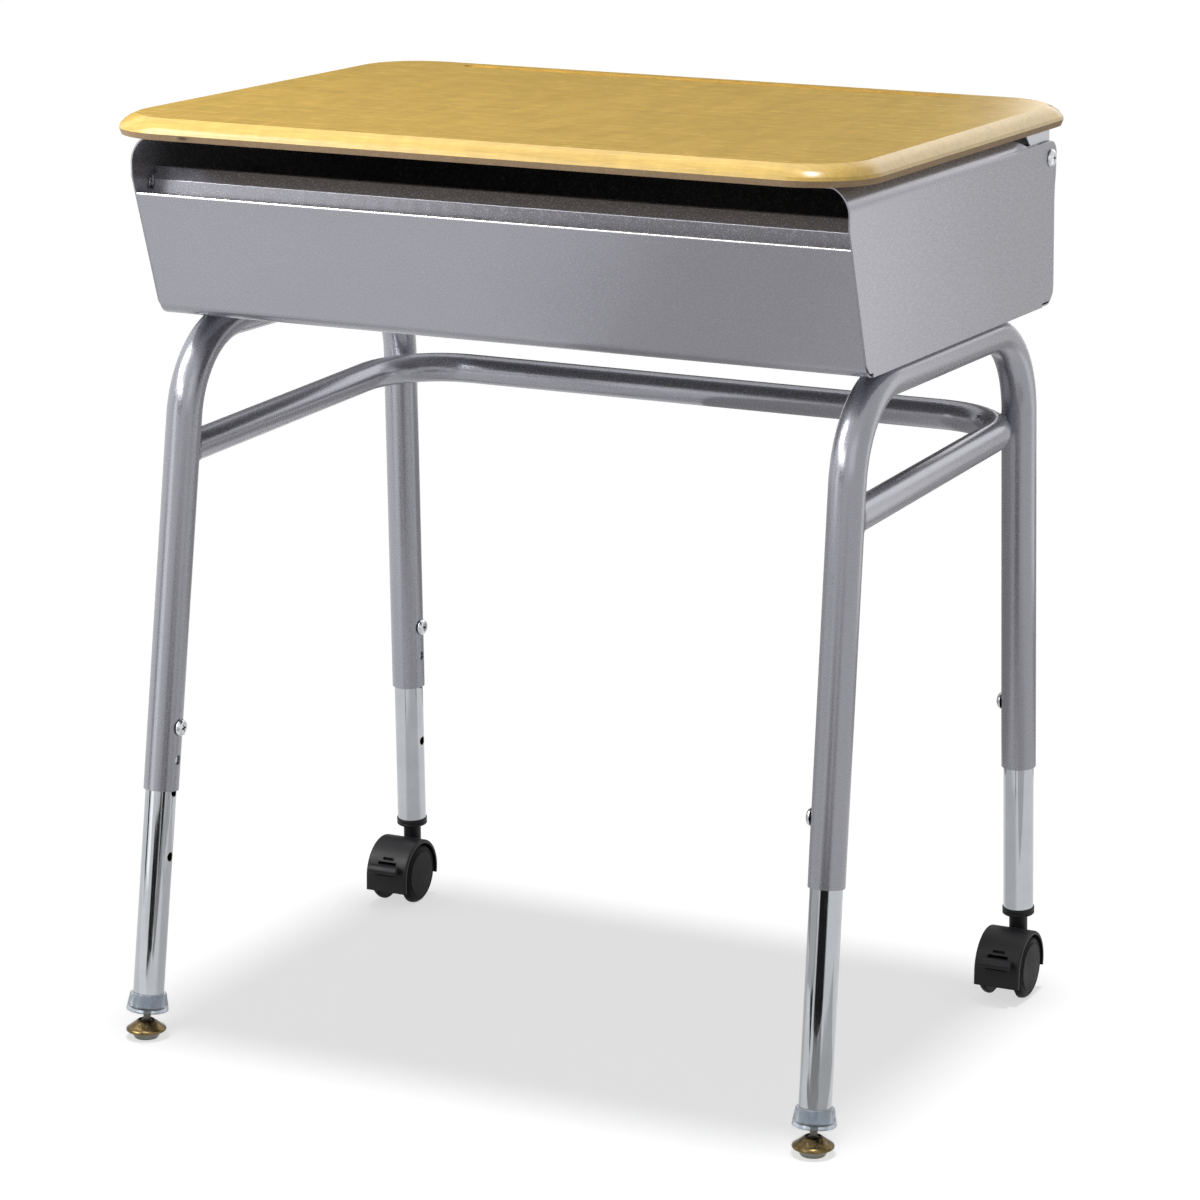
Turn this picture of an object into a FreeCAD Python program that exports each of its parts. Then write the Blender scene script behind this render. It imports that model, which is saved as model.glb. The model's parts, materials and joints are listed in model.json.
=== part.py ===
import FreeCAD, Part
import math
import os

# A school desk with a lift lid.  X to the right, Y to the back, Z up; millimetres.
# The origin is on the floor, under the middle of the lid.

# ---- driving dimensions -----------------------------------------------------------
# lid
LID_W, LID_D = 609.6, 457.2        # widest outline
TOP_Z = 717.57                     # writing surface
# bevel from the widest line up to the crease: (inset, drop below the surface)
BEVEL = ((0, 10.4), (0.9, 8.0), (3.4, 4.8), (6.8, 2.15), (11.5, 0))
UNDER_DROP, EDGE_IN = 15.08, 1.49  # underside of the board, and how far it lies in
CORNER_R, CREASE_R = 53.7, 48.0    # corners at the widest line and at the crease
FACE_T, BACKER_T = 1.0, 0.7
GROOVE = (-219.0, 215.5, 194.6, 205.0, 4.5)   # x from, x to, y from, y to, depth
GROOVE_R = 5.1
UNDER_Z = TOP_Z - UNDER_DROP

# book box
BOX_HALF = 290.3
SHEET = 1.2
BOX_BOTTOM = 560.5
FRONT_TOP = (-192.4, 656.0)
FRONT_FOOT = (-158.6, 560.5)       # where the front's plane meets the bottom's
BACK_FOOT = (213.0, 560.5)
BACK_TOP = (207.3, 667.0)
HEM = 6.0
RIM_Z = 698.0                      # top of the side panels
FLANGE_W = 14.5

# lid hinge
PIVOT_Y, PIVOT_Z = 197.6, 675.6
CHEEK_X = 288.5                    # outer face of the hinge channel's cheeks
CHANNEL_T = 1.5
SHOULDER_R = 4.0
RUN = 0.06                         # radial clearance of a running fit

# side frames and stretcher
TUBE_R, TUBE_WALL = 13.7, 1.5
RAIL_Z, BEND_R = 547.7, 74.0
RAIL_UNDER = 535.0                 # underside of the rail, where it is pressed flat
FRONT_LEG = ((281.95, -211.16, 0.0), (273.73, -151.73, 500.0))
REAR_LEG = ((277.62, 217.64, 0.0), (273.77, 187.90, 500.0))
SLEEVE_END = {"front": 195.0, "rear": 188.0}
SCREW_Z = {"front": 244.3, "rear": 240.6}
STRETCH_R, STRETCH_BEND = 11.9, 64.0
STRETCH_Z = (455.9, 468.6)         # at the front legs and at the rear run
STRETCH_Y = 193.0

# leg inserts
INSERT_R, INSERT_WALL = 12.1, 1.5
INSERT_TOP = 358.0
INSERT_END = {"front": 25.0, "rear": 69.3}
HOLE_R, INSERT_PITCH, SLEEVE_PITCH = 3.65, 50.8, 25.4
SCREW_HEAD_R = 6.75

# swivel glide
BALL_Z, BALL_R = 7.0, 4.0
CUP = ((14.3, 10.0), (16.6, -2.4))   # outside of the cup: its top and its widest

# caster
WHEEL_R, WHEEL_IN, WHEEL_OUT = 25.4, 12.0, 19.2
WHEEL_Y = 195.8
CASTER_X = 277.3
HOOD_R, HOOD_T, HOOD_HALF, WEB_HALF = 29.4, 3.0, 19.0, 11.4
AXLE_R = 3.0
LEVER_PIVOT = (-18.0, 9.0)         # from the wheel centre, in Y and Z


# ---- helpers ----------------------------------------------------------------------
def vec(x, y, z):
    return FreeCAD.Vector(x, y, z)


def route(points, radii, closed=False):
    """Straight edges joined by tangent arcs through the given corners."""
    count = len(points)
    starts, ends, arcs = list(points), list(points), [None] * count
    for i in range(count):
        if radii[i] <= 0 or (not closed and i in (0, count - 1)):
            continue
        here = points[i]
        a = (points[i - 1] - here).normalize()
        b = (points[(i + 1) % count] - here).normalize()
        half = a.getAngle(b) / 2
        reach = radii[i] / math.tan(half)
        centre = here + (a + b).normalize() * (radii[i] / math.sin(half))
        starts[i], ends[i] = here + a * reach, here + b * reach
        middle = centre + (here - centre).normalize() * radii[i]
        arcs[i] = Part.Arc(starts[i], middle, ends[i]).toShape()
    edges = []
    for i in range(count):
        if arcs[i]:
            edges.append(arcs[i])
        if closed or i < count - 1:
            nxt = (i + 1) % count
            if (starts[nxt] - ends[i]).Length > 1e-6:
                edges.append(Part.makeLine(ends[i], starts[nxt]))
    return Part.Wire(edges)


def plate(corners, x0, x1):
    """Flat plate across X from (y, z, radius) corners."""
    wire = route([vec(x0, y, z) for y, z, r in corners], [r for y, z, r in corners], True)
    return Part.Face(wire).extrude(vec(x1 - x0, 0, 0))


def sheet_corners(skin, t, side=1):
    """Closed corners of a bent sheet: its skin of (y, z, radius) and thickness t to one side."""
    flat = [vec(y, z, 0) for y, z, r in skin]
    normals = []
    for a, b in zip(flat, flat[1:]):
        d = (b - a).normalize()
        normals.append(vec(-d.y, d.x, 0) * side)
    inner = []
    for i, p in enumerate(flat):
        before, after = normals[max(i - 1, 0)], normals[min(i, len(normals) - 1)]
        q = p + (before + after) * (t / (1 + before.dot(after)))
        turn = before.x * after.y - before.y * after.x
        r = skin[i][2] + (t if turn * side < 0 else -t) if skin[i][2] else 0
        inner.append((q.x, q.y, max(r, 0)))
    return list(skin) + inner[::-1]


def rounded_rectangle(half_x, half_y, z, r):
    """Closed wire of eight edges, which always start at the same corner."""
    pts = [vec(half_x, -half_y, z), vec(half_x, half_y, z),
           vec(-half_x, half_y, z), vec(-half_x, -half_y, z)]
    return route(pts, [r] * 4, True)


def revolved(profile, origin, axis):
    """Closed (radius, height) profile turned about an axis through origin."""
    pts = [vec(r, 0, h) for r, h in profile]
    solid = Part.Face(Part.makePolygon(pts + pts[:1])).revolve(vec(0, 0, 0), vec(0, 0, 1), 360)
    return placed(solid, origin, axis)


def placed(shape, origin, axis):
    shape = shape.copy()
    turn = FreeCAD.Rotation(vec(0, 0, 1), axis)
    shape.transformShape(FreeCAD.Placement(origin, turn).toMatrix())
    return shape


def arc_points(centre, r, start, stop, steps):
    """Points (u, v) along an arc, in degrees."""
    turn = [math.radians(start + (stop - start) * i / steps) for i in range(steps + 1)]
    return [(centre[0] + r * math.cos(a), centre[1] + r * math.sin(a)) for a in turn]


def bent_rod(points, radii, r):
    """Round bar of cylinders and torus bends along a route."""
    pieces = []
    for edge in route(points, radii).Edges:
        start = edge.valueAt(edge.FirstParameter)
        along = edge.tangentAt(edge.FirstParameter)
        if edge.Curve.TypeId == "Part::GeomLine":
            pieces.append(Part.makeCylinder(r, edge.Length, start, along))
        else:
            disc = Part.Face(Part.Wire(Part.makeCircle(r, start, along)))
            turn = math.degrees(edge.LastParameter - edge.FirstParameter)
            pieces.append(disc.revolve(edge.Curve.Center, edge.Curve.Axis, turn))
    return pieces[0].multiFuse(pieces[1:]).removeSplitter()


def mirrored(shape):
    return shape.mirror(vec(0, 0, 0), vec(1, 0, 0))


def leg_point(which, side, z):
    """Point of a leg's axis at height z; side is -1 on the left and 1 on the right."""
    low, high = FRONT_LEG if which == "front" else REAR_LEG
    s = z / high[2]
    return vec(side * (low[0] + (high[0] - low[0]) * s), low[1] + (high[1] - low[1]) * s, z)


def leg_up(which, side):
    return (leg_point(which, side, 500) - leg_point(which, side, 0)).normalize()


def across(which, side):
    """Unit vector from a leg's axis towards the middle of the desk, square to the leg."""
    up = leg_up(which, side)
    inward = vec(-side, 0, 0)
    return (inward - up * inward.dot(up)).normalize()


parts = {}


# ---- lid --------------------------------------------------------------------------
def lid_block(levels):
    """Lid outline lofted straight from level to level of (inset, z)."""
    wires = []
    for inset, z in levels:
        r = CORNER_R - (CORNER_R - CREASE_R) * inset / BEVEL[-1][0]
        wires.append(rounded_rectangle(LID_W / 2 - inset, LID_D / 2 - inset, z, r))
    return Part.makeLoft(wires, True, True)


def inner_levels(t):
    """Levels of the board under a laminate of thickness t."""
    points = [(i, TOP_Z - d) for i, d in BEVEL] + [(BEVEL[-1][0] + 20, TOP_Z)]
    lines = []
    for (i0, z0), (i1, z1) in zip(points, points[1:]):
        length = math.hypot(i1 - i0, z1 - z0)
        ni, nz = (z1 - z0) / length, -(i1 - i0) / length
        lines.append((i0 + ni * t, z0 + nz * t, i1 - i0, z1 - z0))
    first = lines[0]
    levels = [(first[0] + first[2] * (points[0][1] - first[1]) / first[3], points[0][1])]
    for a, b in zip(lines, lines[1:]):
        s = ((b[0] - a[0]) * b[3] - (b[1] - a[1]) * b[2]) / (a[2] * b[3] - a[3] * b[2])
        levels.append((a[0] + a[2] * s, a[1] + a[3] * s))
    return levels


def slot(grow, depth):
    x0, x1, y0, y1, _ = GROOVE
    pts = [vec(x0 - grow, y0 - grow, TOP_Z + 1), vec(x1 + grow, y0 - grow, TOP_Z + 1),
           vec(x1 + grow, y1 + grow, TOP_Z + 1), vec(x0 - grow, y1 + grow, TOP_Z + 1)]
    wire = route(pts, [GROOVE_R + grow] * 4, True)
    return Part.Face(wire).extrude(vec(0, 0, -depth - 1))


outer = [(inset, TOP_Z - drop) for inset, drop in BEVEL]
lid_top = lid_block(outer)
core_top = lid_block(inner_levels(FACE_T))
band = lid_block([(EDGE_IN, UNDER_Z), outer[0]])
under = min(band.Faces, key=lambda face: face.CenterOfMass.z)
lid_backer = under.extrude(vec(0, 0, BACKER_T))
core = band.cut(lid_backer).fuse(core_top.cut(slot(FACE_T, GROOVE[4] + FACE_T)))
core = core.removeSplitter()
lid_face = lid_top.cut(slot(0, GROOVE[4])).cut(core)

# hinge channel: a plate under the lid, a lip down its rear edge and a cheek at each end
channel = plate(sheet_corners([(141.0, UNDER_Z, 0), (198.0, UNDER_Z, 2.5), (198.0, 687.0, 0)],
                              CHANNEL_T, -1), -CHEEK_X, CHEEK_X)
cheek_shape = [(142.6, UNDER_Z, 0), (168.0, 678.1, 10), (183.5, PIVOT_Z - 8, 5),
               (PIVOT_Y + 8, PIVOT_Z - 8, 7.9), (PIVOT_Y + 8, 677.2, 3), (198.0, 687.0, 0),
               (198.0, UNDER_Z, 2.5)]
for side in (-1, 1):
    cheek = plate(cheek_shape, side * (CHEEK_X - CHANNEL_T), side * CHEEK_X)
    channel = channel.fuse(cheek)
bush_seat = Part.makeCylinder(6.02, 2 * CHEEK_X + 4, vec(-CHEEK_X - 2, PIVOT_Y, PIVOT_Z),
                              vec(1, 0, 0))
channel = channel.removeSplitter().cut(bush_seat)

# pan-head screws that hold the channel to the board
screw_spots = [(x, y) for x in (-250, -125, 0, 125, 250) for y in (152, 184)]
pan = [(0, 10.5), (1.9, 9.0), (1.9, 0), (4.0, 0), (4.0, -0.9), (3.4, -2.0), (0, -2.5)]
hinge_screws = [revolved(pan, vec(x, y, UNDER_Z - CHANNEL_T), vec(0, 0, 1))
                for x, y in screw_spots]
drill = [Part.makeCylinder(1.95, 12, vec(x, y, UNDER_Z - 2.5)) for x, y in screw_spots]
channel = channel.cut(drill)
lid_backer = lid_backer.cut(drill)
core = core.cut([Part.makeCylinder(1.95, 9.1, vec(x, y, UNDER_Z - 0.1))
                 for x, y in screw_spots])
parts["lid_core"] = core
parts["lid_face"] = lid_face
parts["lid_backer"] = lid_backer
parts["hinge_channel"] = channel
parts["hinge_screws"] = Part.makeCompound(hinge_screws)

# nylon bushings in the cheeks, turning on the shoulders of the pivot screws
bush = [(SHOULDER_R + RUN, -1.4), (7.8, -1.4), (7.8, 0), (6.0, 0), (6.0, 1.6),
        (SHOULDER_R + RUN, 1.6)]
parts["pivot_bushings"] = Part.makeCompound(
    [revolved(bush, vec(s * (CHEEK_X - CHANNEL_T), PIVOT_Y, PIVOT_Z), vec(s, 0, 0))
     for s in (-1, 1)])


# ---- book box ---------------------------------------------------------------------
IN_X = BOX_HALF - SHEET
shell_skin = [FRONT_TOP + (0,), FRONT_FOOT + (14.0,), BACK_FOOT + (9.5,), BACK_TOP + (2.2,),
              (BACK_TOP[0] - 13.0, BACK_TOP[1], 0)]
shell = plate(sheet_corners(shell_skin, SHEET), -IN_X, IN_X)
# the front's top edge is folded over inwards, as a closed hem
fall = (vec(0, *FRONT_FOOT) - vec(0, *FRONT_TOP)).normalize()
inward = vec(0, -fall.z, fall.y)
top = vec(0, *FRONT_TOP)
hem = [top, top + fall * HEM, top + fall * HEM + inward * 2.4, top + inward * 2.4]
hem_corners = [(hem[0].y, hem[0].z, 1.15), (hem[1].y, hem[1].z, 0),
               (hem[2].y, hem[2].z, 0.6), (hem[3].y, hem[3].z, 1.15)]
crown = [(hem[0].y - fall.y * 0.9, hem[0].z - fall.z * 0.9, 1.1),
         (hem[1].y, hem[1].z, 0), (hem[2].y, hem[2].z, 0.5),
         (hem[3].y - fall.y * 0.9, hem[3].z - fall.z * 0.9, 1.1)]
shell = shell.fuse(plate(crown, -IN_X, IN_X)).removeSplitter()
parts["box_shell"] = shell

# side panel with a hinge ear at the back and an inward flange along its top
panel_outline = [
    (-149.0, BOX_BOTTOM, 0), (-149.0, 563.6, 1.0), (-153.0, 563.6, 0),
    (-155.6, 564.0, 3), (-162.2, 570.6, 12), FRONT_TOP + (0,), (-197.6, 670.7, 0),
    (-197.9, RIM_Z, 22), (127.0, RIM_Z, 5), (147.5, 688.6, 6), (210.9, 688.4, 12.4),
    (211.0, 664.0, 20), (208.6, 652.0, 20), (213.0, 570.0, 6),
    (204.0, 561.2, 6), (196.0, 561.2, 0), (196.0, 563.6, 1.0), (189.0, 563.6, 1.0),
    (189.0, BOX_BOTTOM, 0)]
# the flange follows the rim and round the front corner, where it narrows to nothing
flange_skin = [(128.0, RIM_Z, 0), (-197.9, RIM_Z, 22), (-197.66, 675.5, 0)]
panel = plate(panel_outline, IN_X, BOX_HALF)
flange = plate(sheet_corners(flange_skin, SHEET), IN_X - FLANGE_W, IN_X)
taper = Part.makePolygon([vec(IN_X, 0, 676.5), vec(IN_X - FLANGE_W, 0, 699.5),
                          vec(IN_X - 30, 0, 699.5), vec(IN_X - 30, 0, 670),
                          vec(IN_X, 0, 670), vec(IN_X, 0, 676.5)])
flange = flange.cut(Part.Face(taper).extrude(vec(0, -120, 0)).translated(vec(0, -100, 0)))
panel = panel.fuse(flange).removeSplitter()
panel = panel.makeFillet(1.1, [e for e in panel.Edges
                               if abs(e.BoundBox.XMin - BOX_HALF) < 1e-4
                               and abs(e.BoundBox.XMax - BOX_HALF) < 1e-4
                               and e.BoundBox.ZMin > RIM_Z - 25 and e.BoundBox.YMax < 127.5])
panel = panel.cut(Part.makeCylinder(SHOULDER_R + 0.1, 4, vec(IN_X - 1, PIVOT_Y, PIVOT_Z),
                                    vec(1, 0, 0)))
parts["side_panel_right"] = panel
parts["side_panel_left"] = mirrored(panel)

# pencil trough: a concave sheet welded behind the top of the front
trough_skin = [(-159.4, 674.2, 0), (-162.4, 673.6, 1.6), (-169.8, 652.2, 9), (-180.5, 643.6, 8),
               (-188.2, 647.4, 0)]
parts["pencil_trough"] = plate(sheet_corners(trough_skin, SHEET), -IN_X, IN_X).cut(shell)

# pivot screws, their lock nuts and the lid's rubber bumpers
pivot = [(0, 3.6), (3.6, 3.2), (5.8, 2.2), (6.9, 0.9), (6.9, 0), (SHOULDER_R, 0),
         (SHOULDER_R, -5.1), (2.95, -5.1), (2.95, -12.4), (2.4, -13.0), (0, -13.0)]
pivot_screws, lock_nuts = [], []
for side in (-1, 1):
    spot = vec(side * BOX_HALF, PIVOT_Y, PIVOT_Z)
    pivot_screws.append(revolved(pivot, spot, vec(side, 0, 0)))
    hexagon = [vec(6.35 * math.cos(math.radians(60 * i)), 6.35 * math.sin(math.radians(60 * i)), 0)
               for i in range(7)]
    nut = Part.Face(Part.makePolygon(hexagon)).extrude(vec(0, 0, 5.0))
    nut = nut.fuse(Part.makeCone(5.4, 4.4, 1.8, vec(0, 0, 5.0)))
    nut = nut.cut(Part.makeCylinder(2.97, 8)).translated(vec(0, 0, 5.15))
    lock_nuts.append(placed(nut, spot, vec(-side, 0, 0)))
parts["pivot_screws"] = Part.makeCompound(pivot_screws)
parts["pivot_nuts"] = Part.makeCompound(lock_nuts)

bumper = [(0, 4.2), (3.2, 4.2), (4.4, 3.2), (4.8, 0), (0, 0)]
bumper_spots = [(s * 281.8, y) for s in (-1, 1) for y in (-150.0, 96.0)]
parts["lid_bumpers"] = Part.makeCompound(
    [revolved(bumper, vec(x, y, RIM_Z), vec(0, 0, 1)) for x, y in bumper_spots])


# ---- side frames ------------------------------------------------------------------
def side_frame(side):
    """Inverted U: two sleeves, two bends and a rail pressed flat above and below."""
    corners = [leg_point(which, side, RAIL_Z) for which in ("front", "rear")]
    low = [leg_point(which, side, SLEEVE_END[which]) for which in ("front", "rear")]
    y0, y1 = corners[0].y + 66.0, corners[1].y - 70.0
    edge_x = corners[0].x - 30
    made = []
    for r, inset in ((TUBE_R, 0.0), (TUBE_R - TUBE_WALL, TUBE_WALL)):
        tube = bent_rod([low[0]] + corners + [low[1]], [0, BEND_R, BEND_R, 0], r)
        over, under = BOX_BOTTOM - inset, RAIL_UNDER + inset
        above = [(corners[0].y, over), (corners[1].y, over), (corners[1].y, 600),
                 (corners[0].y, 600)]
        below = [(y0, under - 1.4), (y0 + 7, under), (y1 - 7, under), (y1, under - 1.4),
                 (y1, 500), (y0, 500)]
        for press in (above, below):
            tube = tube.cut(plate([(y, z, 0) for y, z in press], edge_x, edge_x + 60))
        made.append(tube)
    return made[0], made[0].cut(made[1])


def leg_holes(which, side, heights, r, deep=20):
    """Drills through the wall that faces the middle of the desk."""
    toward = across(which, side)
    return [Part.makeCylinder(r, deep, leg_point(which, side, z), toward) for z in heights]


full_frames = {}
for side, name in ((-1, "left"), (1, "right")):
    full, tube = side_frame(side)
    full_frames[name] = full
    for which in ("front", "rear"):
        z = SCREW_Z[which]
        pitch = SLEEVE_PITCH * leg_up(which, side).z
        tube = tube.cut(leg_holes(which, side, (z, z - pitch), HOLE_R))
    parts["side_frame_" + name] = tube.removeSplitter()

# stretcher: one tube bent into a U, coped to the front legs and welded to the rear ones
front_l, front_r = leg_point("front", -1, STRETCH_Z[0]), leg_point("front", 1, STRETCH_Z[0])
corner_x = 273.4
bar = [front_l, vec(-corner_x, STRETCH_Y, STRETCH_Z[1]), vec(corner_x, STRETCH_Y, STRETCH_Z[1]),
       front_r]
bends = [0, STRETCH_BEND, STRETCH_BEND, 0]
stretcher = bent_rod(bar, bends, STRETCH_R).cut(bent_rod(bar, bends, STRETCH_R - TUBE_WALL))
for name in ("left", "right"):
    stretcher = stretcher.cut(full_frames[name])
stretcher = max(stretcher.Solids, key=lambda s: s.Volume)
parts["stretcher"] = stretcher

# pan-head screws that lock the leg inserts
lock = [(0, 3.5), (3.2, 3.2), (5.6, 2.2), (SCREW_HEAD_R, 0.9), (SCREW_HEAD_R, 0), (3.0, 0),
        (3.0, -1.3), (0, -1.3)]
leg_screws = []
for side in (-1, 1):
    for which in ("front", "rear"):
        toward = across(which, side)
        seat = leg_point(which, side, SCREW_Z[which]) + toward * TUBE_R
        leg_screws.append(revolved(lock, seat, toward))
parts["leg_screws"] = Part.makeCompound(leg_screws)


# ---- leg inserts ------------------------------------------------------------------
for side, name in ((-1, "left"), (1, "right")):
    for which in ("front", "rear"):
        up = leg_up(which, side)
        low = leg_point(which, side, INSERT_END[which])
        length = (INSERT_TOP - INSERT_END[which]) / up.z
        ring = [(INSERT_R - INSERT_WALL, 0), (INSERT_R, 0), (INSERT_R, length),
                (INSERT_R - INSERT_WALL, length)]
        tube = revolved(ring, low, up)
        z, pitch = SCREW_Z[which], INSERT_PITCH * up.z
        heights = [z + k * pitch for k in (-2, -1, 0, 1)]
        parts["leg_insert_%s_%s" % (which, name)] = tube.cut(
            leg_holes(which, side, heights, HOLE_R))


# ---- swivel glides ----------------------------------------------------------------
for side, name in ((-1, "left"), (1, "right")):
    up = leg_up("front", side)
    end = leg_point("front", side, INSERT_END["front"])
    plug_r = INSERT_R - INSERT_WALL - 0.05
    cup = [(3.36, 12.0), (0, 12.0), (0, 17.0), (plug_r - 1.2, 17.0), (plug_r, 15.5),
           (plug_r, 0), (INSERT_R + 0.05, 0), (INSERT_R + 0.05, 10.5), (13.8, 10.5), CUP[0],
           CUP[1], (16.3, -3.3), (15.4, -3.8), (11.0, -3.8), (10.2, -2.0), (3.36, -2.0)]
    parts["glide_cup_" + name] = revolved(cup, end, up)
    ball = leg_point("front", side, BALL_Z)
    drop = (end - ball).Length
    neck = math.sqrt(BALL_R ** 2 - 2.3 ** 2)
    stem = [(0, drop + 11.6), (2.7, drop + 11.6), (3.3, drop + 11.0), (3.3, drop - 1.6),
            (2.9, drop - 2.2), (2.9, 7.4), (4.2, 7.0), (4.2, 5.9), (2.3, 5.2), (2.3, neck)]
    stem += [(BALL_R * math.cos(math.radians(a)), BALL_R * math.sin(math.radians(a)))
             for a in (40, 20, 0, -20, -40, -60, -78)] + [(0, -BALL_R)]
    parts["glide_stem_" + name] = revolved(stem, ball, up)
    floor = vec(ball.x, ball.y, 0)
    bell = [(15.0, 5.8), (15.5, 6.3), (15.6, 7.2), (15.2, 8.0), (12.7, 9.7), (9.6, 12.0),
            (7.2, 13.9), (6.4, 14.3), (5.9, 13.9), (6.7, 13.1), (9.1, 11.2), (12.2, 8.9),
            (14.4, 7.4), (14.5, 5.8)]
    parts["glide_cap_" + name] = revolved(bell, floor, vec(0, 0, 1))
    foot = [(0, 0), (8.9, 0), (9.4, 0.5), (11.7, 5.2), (14.45, 5.8), (14.34, 7.35),
            (12.15, 8.84), (9.04, 11.12), (8.4, 11.6), (0, 11.6)]
    foot = revolved(foot, floor, vec(0, 0, 1))
    foot = foot.cut(Part.makeSphere(BALL_R + 0.08, ball))
    foot = foot.cut(Part.makeCone(3.5, 5.7, 3.4, vec(ball.x, ball.y, 9.2)))
    parts["glide_base_" + name] = foot


# ---- casters ----------------------------------------------------------------------
def caster(side):
    """Twin-wheel caster whose stem stands in the rear leg; the axle lies along X."""
    hub = vec(side * CASTER_X, WHEEL_Y, WHEEL_R)
    up = leg_up("rear", side)
    end = leg_point("rear", side, INSERT_END["rear"])
    made = {}
    plug_r = INSERT_R - INSERT_WALL - 0.05
    collar = [(5.06, -5.8), (12.2, -5.8), (12.8, -5.2), (12.8, -4.0), (12.3, -3.6),
              (12.3, -3.0), (12.8, -2.6), (12.8, 0), (plug_r, 0), (plug_r, 26.0),
              (plug_r - 1.5, 28.0), (0, 28.0), (0, 25.0), (5.06, 25.0)]
    made["caster_socket"] = revolved(collar, end, up)
    stem = [(0, -22.0), (5.0, -22.0), (5.0, -7.6), (6.9, -7.6), (6.9, -6.3), (5.0, -6.3),
            (5.0, 23.5), (4.0, 24.6), (0, 24.6)]
    made["caster_stem"] = revolved(stem, end, up)

    # hood: a web between the wheels, a fender over them and the stem's boss
    def local(y, z):
        return vec(0, hub.y + y, hub.z + z)

    rear, skirt = -11.8, -11.2
    at = lambda r, a: local(r * math.cos(math.radians(a)), r * math.sin(math.radians(a)))
    inner_r = HOOD_R - HOOD_T
    fender = Part.Face(Part.Wire([
        Part.Arc(at(HOOD_R, rear), at(HOOD_R, 95), at(HOOD_R, 180)).toShape(),
        Part.makeLine(at(HOOD_R, 180), local(-HOOD_R, skirt)),
        Part.makeLine(local(-HOOD_R, skirt), local(-inner_r, skirt)),
        Part.makeLine(local(-inner_r, skirt), at(inner_r, 180)),
        Part.Arc(at(inner_r, 180), at(inner_r, 95), at(inner_r, rear)).toShape(),
        Part.makeLine(at(inner_r, rear), at(HOOD_R, rear))]))
    fender = fender.extrude(vec(2 * HOOD_HALF, 0, 0)).translated(vec(hub.x - HOOD_HALF, 0, 0))
    rims = [e for e in fender.Edges if e.BoundBox.XLength < 1e-6 and e.BoundBox.ZLength > 5
            and e.BoundBox.YMin < hub.y - HOOD_R + 1e-3]
    fender = fender.makeFillet(1.6, rims)
    web = Part.Face(Part.Wire([
        Part.Arc(at(HOOD_R - 0.4, rear), at(HOOD_R - 0.4, 95), at(HOOD_R - 0.4, 180)).toShape(),
        Part.makeLine(at(HOOD_R - 0.4, 180), local(0.4 - HOOD_R, skirt)),
        Part.makeLine(local(0.4 - HOOD_R, skirt), local(17.0, skirt)),
        Part.makeLine(local(17.0, skirt), at(HOOD_R - 0.4, rear))]))
    web = web.extrude(vec(2 * WEB_HALF, 0, 0)).translated(vec(hub.x - WEB_HALF, 0, 0))
    boss = Part.makeCylinder(7.3, 27.7, end - up * 35.3, up)
    hood = fender.fuse(web).fuse(boss)
    hood = hood.cut(Part.makeCylinder(5.02, 16.0, end - up * 22.2, up))
    hood = hood.cut(Part.makeCylinder(AXLE_R + 0.02, 60, hub - vec(30, 0, 0), vec(1, 0, 0)))
    window = Part.makeBox(17.0, 20.0, 11.0, local(-33.0, 3.2) + vec(hub.x - 8.5, 0, 0))
    pip = Part.makeBox(10.0, 9.6, 1.8, local(-31.0, 15.9) + vec(hub.x - 5.0, 0, 0))
    pins = Part.makeCylinder(1.56, 2 * WEB_HALF - 1.0,
                             local(*LEVER_PIVOT) + vec(hub.x - WEB_HALF + 0.5, 0, 0),
                             vec(1, 0, 0))
    made["caster_hood"] = hood.cut([window, pip, pins]).removeSplitter()

    # brake lever: an arm in the window and a paddle in front of the hood
    y0, z0 = LEVER_PIVOT
    arm = [(hub.y + y0 + 3.2, hub.z + z0 + 2.6, 2.4), (hub.y - 30.6, hub.z + 12.2, 0),
           (hub.y - 30.6, hub.z + 7.0, 0), (hub.y + y0 + 3.2, hub.z + z0 - 2.8, 2.4)]
    paddle = [(hub.y - 30.0, hub.z + 13.2, 1.0), (hub.y - 35.0, hub.z + 12.8, 2.0),
              (hub.y - 37.6, hub.z + 10.0, 2.0), (hub.y - 37.0, hub.z + 6.2, 1.4),
              (hub.y - 30.0, hub.z + 6.6, 1.0)]
    lever = plate(arm, hub.x - 8.0, hub.x + 8.0).fuse(plate(paddle, hub.x - 13.5, hub.x + 13.5))
    pin = Part.makeCylinder(1.5, 2 * WEB_HALF - 2.2,
                            local(y0, z0) + vec(hub.x - WEB_HALF + 1.1, 0, 0), vec(1, 0, 0))
    made["brake_lever"] = lever.fuse(pin).removeSplitter()
    made["caster_axle"] = Part.makeCylinder(AXLE_R, 30.4, hub - vec(15.2, 0, 0), vec(1, 0, 0))

    # wheel: tread, chamfered ring, groove and raised disc; blind bore on the axle
    wheel = [(AXLE_R + RUN, WHEEL_IN), (24.4, WHEEL_IN), (WHEEL_R, 12.8), (WHEEL_R, 14.2),
             (25.1, 15.7), (24.2, 17.1), (22.9, 18.1), (21.3, 18.6), (20.5, 18.1), (19.8, 18.6),
             (18.6, WHEEL_OUT), (0, WHEEL_OUT), (0, 15.6), (AXLE_R + RUN, 15.6)]
    made["caster_wheel_a"] = revolved(wheel, hub, vec(-1, 0, 0))
    made["caster_wheel_b"] = revolved(wheel, hub, vec(1, 0, 0))
    return made


for side, name in ((-1, "left"), (1, "right")):
    for piece, shape in caster(side).items():
        if piece.startswith("caster_wheel"):
            outer_side = (piece[-1] == "a") == (side < 0)
            piece = "caster_wheel_" + ("outer" if outer_side else "inner")
        parts[piece + "_" + name] = shape


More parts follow.
